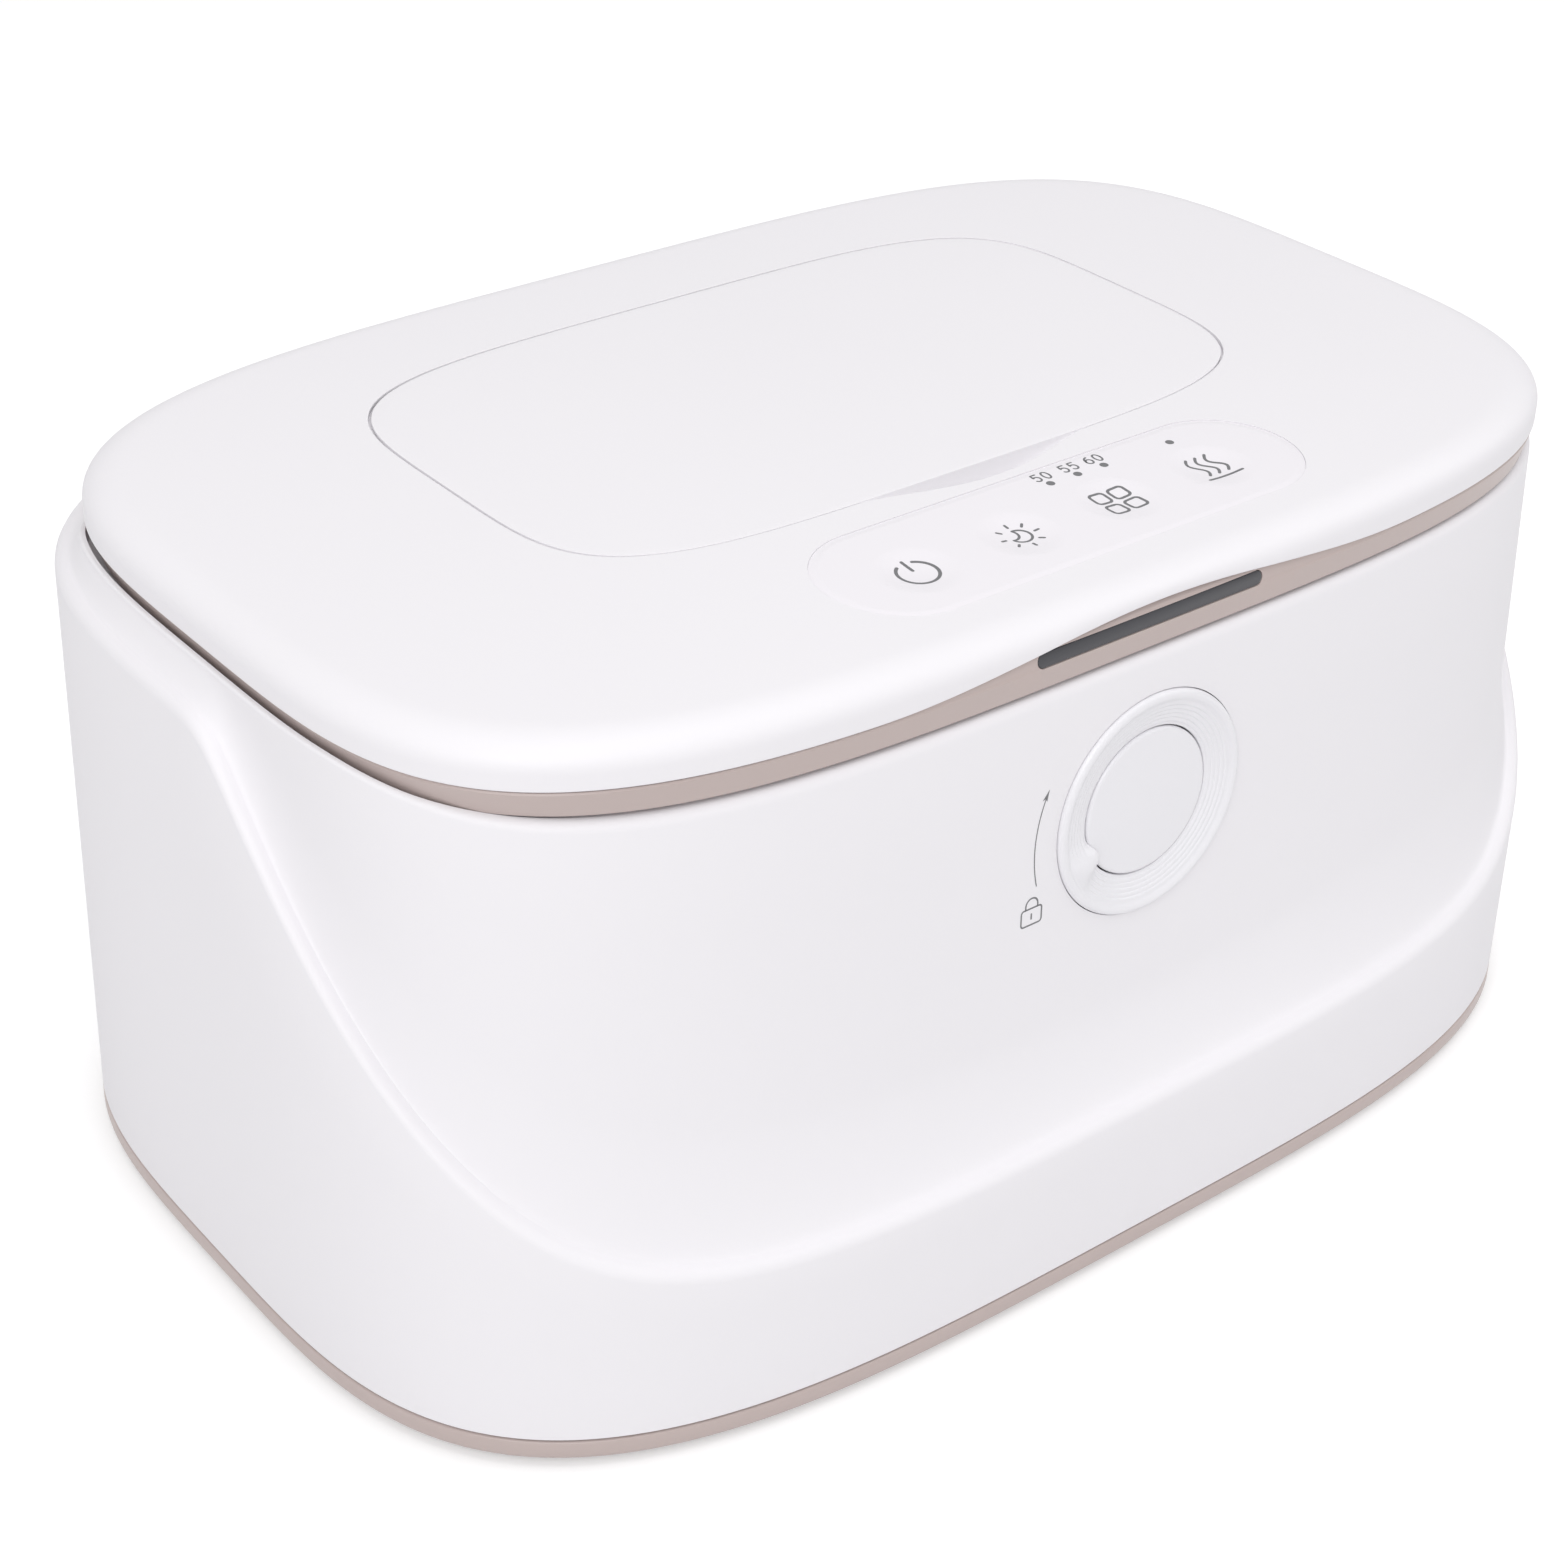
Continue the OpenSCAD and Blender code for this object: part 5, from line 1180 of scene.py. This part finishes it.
@dataclass
class TouchPanel:
    """The shallow touch panel with four dished areas and its printed signs."""

    shape: Shape = SHAPE
    middle: tuple[float, float] = (1.7, -48.7)
    size: tuple[float, float] = (89.0, 25.2)
    dish_r: float = 6.7
    dish_deep: float = 0.5
    dish_x: tuple[float, ...] = (-27.75, -8.45, 10.85, 30.15)
    dish_y: float = -50.0
    led_x: tuple[float, ...] = (5.8, 11.25, 16.6, 30.3)
    led_y: float = -40.8
    step: float = 0.13
    slope: float = 1.5

    def height(self, flat: np.ndarray) -> np.ndarray:
        """Height of the panel over flat points."""
        x, y = flat[:, 0], flat[:, 1]
        mx, my = self.middle
        hw, hh = self.size[0] / 2, self.size[1] / 2
        core = np.maximum(np.abs(x - mx) - (hw - hh), 0.0)
        inside = np.clip((hh - np.hypot(core, y - my)) / self.slope, 0, 1)
        z = self.shape.lid_top(x, y) - 0.02 - self.step * (1 - inside**2 * (3 - 2 * inside))
        for cx in self.dish_x:
            r2 = ((x - cx) ** 2 + (y - self.dish_y) ** 2) / self.dish_r**2
            z = z - self.dish_deep * np.clip(1 - r2, 0, 1) ** 1.6
        return z

    def on_panel(self, flat: np.ndarray) -> np.ndarray:
        """Lay flat points just over the panel."""
        return np.concatenate([flat, (self.height(flat) + 0.012)[:, None]], axis=1)

    def build(self) -> bpy.types.Object:
        """Make the panel and its prints."""
        mx, my = self.middle
        hw, hh = self.size[0] / 2, self.size[1] / 2
        nu, nv = 300, 96
        v = np.sin(np.linspace(-math.pi / 2, math.pi / 2, nv)) * 0.9995
        pts = []
        for t in v:
            half = hw - hh + math.sqrt(max(0.0, hh * hh - (hh * t) ** 2))
            for u in np.linspace(-1, 1, nu):
                pts.append((mx + u * half, my + hh * t))
        flat = np.array(pts)
        top = np.concatenate([flat, self.height(flat)[:, None]], axis=1)
        low = top - np.array([0, 0, 0.55])
        n = nu * nv
        faces: list[Sequence[int]] = []
        for i in range(nv - 1):
            for k in range(nu - 1):
                a = i * nu + k
                faces.append((a, a + 1, a + nu + 1, a + nu))
                faces.append((n + a, n + a + nu, n + a + nu + 1, n + a + 1))
        edge = [k for k in range(nu)] + [i * nu + nu - 1 for i in range(1, nv)]
        edge += [(nv - 1) * nu + k for k in range(nu - 2, -1, -1)] + [i * nu for i in range(nv - 2, 0, -1)]
        for a, b in zip(edge, edge[1:] + edge[:1]):
            faces.append((a, n + a, n + b, b))
        obj = finish_mesh("touch_panel_film", np.concatenate([top, low]), faces, 50.0)
        dress(obj, PANEL_FILM, "lid", "control_panel")
        self._signs()
        return obj

    def _signs(self) -> None:
        """Print the signs, the numbers and the lamp dots."""
        mark = Print("panel_signs", self.on_panel)
        y = self.dish_y
        x = self.dish_x[0]
        mark.stroke(circle(x, y - 0.1, 3.1, 90 + 33, 450 - 24, 60), 0.54)
        mark.stroke([(x - 0.1, y + 0.9), (x - 0.1, y + 3.4)], 0.54)
        x = self.dish_x[1]
        for k in range(8):
            a = math.radians(45 * k)
            mark.stroke([(x + 2.75 * math.cos(a), y + 2.75 * math.sin(a)), (x + 3.45 * math.cos(a), y + 3.45 * math.sin(a))], 0.44)
        mark.stroke(self._moon(x, y), 0.42, True)
        x = self.dish_x[2]
        for sx in (-1, 1):
            for sy in (-1, 1):
                mark.stroke(soft_square(x + sx * 1.85, y + sy * 1.85, 2.75, 2.75, 0.7), 0.5, True)
        x = self.dish_x[3]
        for k in (-1, 0, 1):
            wave = [(x + 1.95 * k - 0.1 + 0.78 * math.sin(-2 * math.pi * t), y + 3.5 - 5.3 * t) for t in np.linspace(0, 1, 24)]
            mark.stroke(wave, 0.5)
        mark.stroke([(x - 3.4, y - 3.1), (x + 3.4, y - 3.1)], 0.5)
        for text, cx in (("50", 6.2), ("55", 11.7), ("60", 16.65)):
            self._number(mark, text, cx, -38.45)
        for cx in self.led_x:
            mark.fill(circle(cx, self.led_y, 0.7, 0, 360, 24))
        mark.make("lid")

    @staticmethod
    def _moon(x: float, y: float) -> list[tuple[float, float]]:
        """Outline of a crescent."""
        tilt = math.radians(-35)
        outer = [(1.75 * math.cos(t), 1.75 * math.sin(t)) for t in np.linspace(-2.25, 2.25, 30)]
        inner = [(-1.62 + 1.45 * math.cos(t), 1.45 * math.sin(t)) for t in np.linspace(1.2, -1.2, 18)]
        ring = outer + inner
        return [(x + p * math.cos(tilt) - q * math.sin(tilt), y + p * math.sin(tilt) + q * math.cos(tilt)) for p, q in ring]

    @staticmethod
    def _number(mark: Print, text: str, cx: float, cy: float) -> None:
        """Print a two-digit number around a point."""
        w, h = 1.55, 2.05
        for k, digit in enumerate(text):
            x0 = cx + (k - 1) * (w + 0.34)
            for line in DIGITS[digit]:
                mark.stroke([(x0 + px * w, cy - h / 2 + py * h) for px, py in line], 0.34, step=0.15)


@dataclass
class WallPrints:
    """The padlock and the turning arrow beside the lock ring."""

    shape: Shape = SHAPE
    arc_r: float = 22.9
    arc_middle: tuple[float, float] = (0.45, -0.6)

    def on_wall(self, flat: np.ndarray) -> np.ndarray:
        """Lay points of the ring's plane on the front wall."""
        s = self.shape
        x = flat[:, 0]
        z = s.knob_z + flat[:, 1] * math.cos(s.draft)
        lean = math.tan(s.draft) * (104.0 - z)
        y = 0.3 - (71.6 + lean) * (1 - (np.abs(x) / (112.2 + lean)) ** 3.9) ** (1 / 3.9)
        return np.stack([x, y - 0.015, z], axis=1)

    def build(self) -> bpy.types.Object:
        """Print the padlock and the arrow."""
        mark = Print("lock_signs", self.on_wall)
        ox, oy = self.arc_middle
        mark.stroke(circle(ox, oy, self.arc_r, 193.6, 157.5, 40), 0.2)
        a = math.radians(154.0)
        tip = np.array([ox + self.arc_r * math.cos(a), oy + self.arc_r * math.sin(a)])
        way = np.array([math.sin(a), -math.cos(a)])
        side = np.array([-way[1], way[0]])
        back = tip - way * 1.9
        mark.fill([tuple(tip), tuple(back + side * 0.48), tuple(back + way * 0.4), tuple(back - side * 0.48)])
        cx, cy = -22.5, -10.9
        mark.stroke(soft_square(cx, cy, 3.9, 2.8, 0.5), 0.28, True)
        mark.stroke([(cx - 1.15, cy + 1.4)] + circle(cx, cy + 1.95, 1.15, 180, 0, 16) + [(cx + 1.15, cy + 1.4)], 0.28)
        mark.stroke([(cx, cy - 0.4), (cx, cy + 0.4)], 0.3)
        return mark.make("warmer_base")


@dataclass
class LockRing:
    """The turning ring: a rounded lip, a stepped dish and a raised pointer."""

    shape: Shape = SHAPE
    radius: float = 18.08
    bore: float = 12.0
    pointer: float = math.radians(206.0)
    steps: int = 5

    def profile(self) -> list[tuple[float, float]]:
        """The ring's section, from the bore's rear end round the flange and over the lip."""
        pts: list[tuple[float, float]] = [(12.1, -4.1), (19.6, -4.1), (19.6, -2.9), (self.radius, -2.9)]
        pts += [(self.radius, -0.5), (self.radius, -0.05)]
        pts += arc(self.radius - 0.85, -0.05, 0.85, 8, 90, 12)[:-1]
        pts += arc(self.radius - 0.85, -0.6, 1.4, 90, 118, 5)
        r, z = pts[-1]
        pts += [(r - 0.25, z - 0.22), (r - 0.45, z - 0.3)]
        r, z = pts[-1]
        width = (r - self.bore - 0.5) / self.steps
        for _ in range(self.steps):
            pts += [(r - width * 0.35, z + 0.0), (r - width * 0.68, z - 0.01), (r - width * 0.8, z - 0.06), (r - width, z - 0.2)]
            r, z = pts[-1]
        pts += [(self.bore + 0.25, z - 0.02), (self.bore + 0.08, z - 0.08), (self.bore, z - 0.25), (self.bore, z - 0.6)]
        pts += [(12.1, z - 1.0), (12.1, -3.0)]
        return pts

    def warp(self, pts: np.ndarray) -> np.ndarray:
        """Raise the smooth pointer out of the dish; its tip reaches in over the button's edge."""
        r = np.hypot(pts[..., 0], pts[..., 1])
        ang = np.arctan2(pts[..., 1], pts[..., 0])
        turn = (ang - self.pointer + math.pi) % (2 * math.pi) - math.pi
        side = r * np.sin(turn)
        face = (pts[..., 2] > -1.2) & (np.abs(turn) < 1.0) & (r < 17.0)
        width = np.interp(r, [12.0, 13.5, 15.5, 17.0], [1.9, 2.7, 3.2, 3.4])
        bump = np.exp(-np.abs(side / width) ** 2.6)
        target = np.interp(r, [12.0, 12.6, 13.6, 15.4, 16.4, 17.0], [0.4, 0.85, 1.1, 1.05, 0.7, 0.2])
        out = pts.copy()
        lifted = out[..., 2] + (np.maximum(target, out[..., 2]) - out[..., 2]) * bump
        out[..., 2] = np.where(face, lifted, out[..., 2])
        pull = np.where(face, bump * np.interp(r, [12.0, 14.0], [0.85, 0.0]), 0.0)
        out[..., 0] -= np.cos(ang) * pull
        out[..., 1] -= np.sin(ang) * pull
        return out

    def build(self) -> bpy.types.Object:
        """Make and dress the ring."""
        obj = lathe("lock_ring_dish", self.profile(), self.shape.knob_matrix(), 640, self.warp, 34.0)
        return dress(obj, DIAL_WHITE, "ring", "lock_ring")


@dataclass
class OpenButton:
    """The push button: a shallow dome on a hollow stem."""

    shape: Shape = SHAPE
    radius: float = 11.8

    def build(self) -> bpy.types.Object:
        """Make and dress the button."""
        r = self.radius
        pts: list[tuple[float, float]] = [(1.05, -3.0), (1.05, -8.4), (3.2, -8.4), (3.2, -1.4), (r - 1.2, -1.4)]
        pts += [(r - 1.2, -3.2), (r, -3.2)]
        pts += arc(r - 0.6, -0.95, 0.6, 0, 80, 8)
        edge_r, edge_z = pts[-1]
        pts += [(edge_r * t, edge_z + 0.28 * (1 - t * t)) for t in np.linspace(0.97, 0.0, 24)]
        pts += [(0.0, -3.0)]
        obj = lathe("button_cap", pts, self.shape.knob_matrix(), 256, None, 50.0)
        return dress(obj, DIAL_WHITE, "button", "open_button")


@dataclass
class ButtonSpring:
    """The coil behind the button."""

    shape: Shape = SHAPE
    mean_r: float = 3.2
    wire_r: float = 0.25
    curls: int = 4
    rear: float = -14.4
    front: float = -9.2
    pressed: float = 2.5

    def build(self) -> bpy.types.Object:
        """Make and dress the coil, held at its rear end."""
        steps, sides = 28 * self.curls, 12
        low, high = self.rear + self.wire_r, self.front - self.wire_r
        rings = []
        for k in range(sides):
            g = 2 * math.pi * k / sides
            t = np.linspace(0, 1, steps + 1)
            turn = 2 * math.pi * self.curls * t
            r = self.mean_r + self.wire_r * math.cos(g)
            z = low + (high - low) * t + self.wire_r * math.sin(g)
            rings.append(np.stack([r * np.cos(turn), r * np.sin(turn), z], axis=1))
        stack = np.stack(rings, axis=1)
        faces: list[Sequence[int]] = list(grid_faces(steps + 1, sides, False, True))
        faces += [list(range(sides)), [steps * sides + k for k in reversed(range(sides))]]
        obj = finish_mesh("button_coil", stack.reshape(-1, 3), faces, 60.0)
        place = self.shape.knob_matrix()
        obj.data.transform(place)
        dress(obj, STEEL, "warmer_base", "button_spring")
        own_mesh(obj)
        return obj


@dataclass
class CarriedNodes:
    """The nodes of the frame that keep their own meshes."""

    def build(self) -> None:
        """Give each shown node the finish of its slot."""
        slots = {p["node"]: p["material_slot"] for p in frame["record"]["subparts"]}
        for name, obj in frame["nodes"].items():
            finish = FINISHES[slots[name]]
            obj.data.materials.clear()
            obj.data.materials.append(finish.material())
        LOG.info("dressed %d nodes of the frame", len(frame["nodes"]))


# Studio


@dataclass
class Studio:
    """Floor, soft light, world and camera."""

    target: tuple[float, float, float] = (0.0, 2.05, 61.5)
    azimuth: float = -38.94
    elevation: float = 31.92
    roll: float = 1.6
    shift: tuple[float, float] = (-7.12, -14.26)
    distance: float = 484.06
    lens: float = 66.93

    def camera(self) -> bpy.types.Object:
        """Place the camera as it stood for the photograph."""
        a, e, r = (math.radians(v) for v in (self.azimuth, self.elevation, self.roll))
        back = Vector((math.sin(a) * math.cos(e), -math.cos(a) * math.cos(e), math.sin(e)))
        right = Vector((math.cos(a), math.sin(a), 0.0))
        up = back.cross(right)
        right, up = right * math.cos(r) + up * math.sin(r), up * math.cos(r) - right * math.sin(r)
        spot = Vector(self.target) + back * self.distance + right * self.shift[0] + up * self.shift[1]
        data = bpy.data.cameras.new("camera")
        data.lens = self.lens
        data.sensor_width = 36.0
        data.sensor_fit = "HORIZONTAL"
        data.clip_start = 0.01
        obj = bpy.data.objects.new("camera", data)
        bpy.context.scene.collection.objects.link(obj)
        obj.matrix_world = Matrix.Translation(spot * MM) @ Matrix((right, up, back)).transposed().to_4x4()
        bpy.context.scene.camera = obj
        return obj

    def floor(self) -> bpy.types.Object:
        """A wide pale floor, white to the camera but for the object's shadow."""
        mesh = bpy.data.meshes.new("floor")
        size = 3.0
        mesh.from_pydata([(-size, -size, 0), (size, -size, 0), (size, size, 0), (-size, size, 0)], [], [(0, 1, 2, 3)])
        obj = bpy.data.objects.new("floor", mesh)
        bpy.context.scene.collection.objects.link(obj)
        mat = bpy.data.materials.new("floor_paper")
        mat.use_nodes = True
        nodes, links = mat.node_tree.nodes, mat.node_tree.links
        shader = nodes["Principled BSDF"]
        shader.inputs["Base Color"].default_value = (0.78, 0.78, 0.785, 1)
        shader.inputs["Roughness"].default_value = 0.9
        shader.inputs["Specular IOR Level"].default_value = 0.1
        fibre = nodes.new("ShaderNodeTexNoise")
        fibre.inputs["Scale"].default_value = 400.0
        bump = nodes.new("ShaderNodeBump")
        bump.inputs["Distance"].default_value = 0.00002
        links.new(fibre.outputs["Fac"], bump.inputs["Height"])
        links.new(bump.outputs["Normal"], shader.inputs["Normal"])
        path = nodes.new("ShaderNodeLightPath")
        seen = nodes.new("ShaderNodeMath")
        seen.operation = "MAXIMUM"
        links.new(path.outputs["Is Camera Ray"], seen.inputs[0])
        links.new(path.outputs["Is Glossy Ray"], seen.inputs[1])
        glow = nodes.new("ShaderNodeMath")
        glow.operation = "MULTIPLY"
        glow.inputs[1].default_value = 0.3
        links.new(seen.outputs[0], glow.inputs[0])
        light = nodes.new("ShaderNodeEmission")
        links.new(glow.outputs[0], light.inputs["Strength"])
        both = nodes.new("ShaderNodeAddShader")
        links.new(shader.outputs[0], both.inputs[0])
        links.new(light.outputs[0], both.inputs[1])
        links.new(both.outputs[0], nodes["Material Output"].inputs["Surface"])
        mesh.materials.append(mat)
        return obj

    def lamp(self, name: str, spot: Sequence[float], size: float, power: float, tint: tuple[float, float, float] = (1, 1, 1)) -> None:
        """Hang a square soft lamp that faces the object.

        Args:
            name: Name of the lamp.
            spot: Its place in metres.
            size: Its side in metres.
            power: Its power in watts.
            tint: Its colour.
        """
        data = bpy.data.lights.new(name, "AREA")
        data.shape = "SQUARE"
        data.size = size
        data.energy = power
        data.color = tint
        obj = bpy.data.objects.new(name, data)
        bpy.context.scene.collection.objects.link(obj)
        obj.location = spot
        obj.rotation_euler = (Vector((0, 0, 0.06)) - Vector(spot)).to_track_quat("-Z", "Y").to_euler()

    def world(self) -> None:
        """A plain bright surround, white where the camera sees it."""
        world = bpy.data.worlds.new("surround")
        bpy.context.scene.world = world
        world.use_nodes = True
        nodes, links = world.node_tree.nodes, world.node_tree.links
        back = nodes["Background"]
        back.inputs["Color"].default_value = (1, 1, 1, 1)
        path = nodes.new("ShaderNodeLightPath")
        seen = nodes.new("ShaderNodeMath")
        seen.operation = "MAXIMUM"
        links.new(path.outputs["Is Camera Ray"], seen.inputs[0])
        links.new(path.outputs["Is Transmission Ray"], seen.inputs[1])
        strength = nodes.new("ShaderNodeMapRange")
        strength.inputs["To Min"].default_value = 0.62
        strength.inputs["To Max"].default_value = 1.0
        links.new(seen.outputs[0], strength.inputs["Value"])
        links.new(strength.outputs["Result"], back.inputs["Strength"])

    def build(self) -> None:
        """Set up the whole studio."""
        bpy.context.scene.view_settings.view_transform = "Standard"
        self.camera()
        self.floor()
        self.world()
        self.lamp("key", (-1.05, -0.95, 1.15), 1.2, 13.3)
        self.lamp("fill", (1.2, -0.6, 0.9), 1.0, 3.1)
        self.lamp("top", (0.0, -0.1, 1.6), 1.2, 5.6)


def clear_scene() -> None:
    """Remove what Blender starts with."""
    for name in ("Cube", "Light", "Camera"):
        obj = bpy.data.objects.get(name)
        if obj is not None:
            bpy.data.objects.remove(obj)


def main() -> None:
    """Build the pieces in order."""
    logging.basicConfig(level=logging.INFO, format="%(name)s: %(message)s")
    clear_scene()
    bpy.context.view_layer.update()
    CarriedNodes().build()
    for part in (
        Housing(), BaseRim(), WipesTank(), LidShell(), LidFrame(), WindowLens(),
        DispenserDoor(), TouchPanel(), WallPrints(), LockRing(), OpenButton(), ButtonSpring(),
    ):
        part.build()
    Studio().build()


if __name__ == "__main__":
    main()
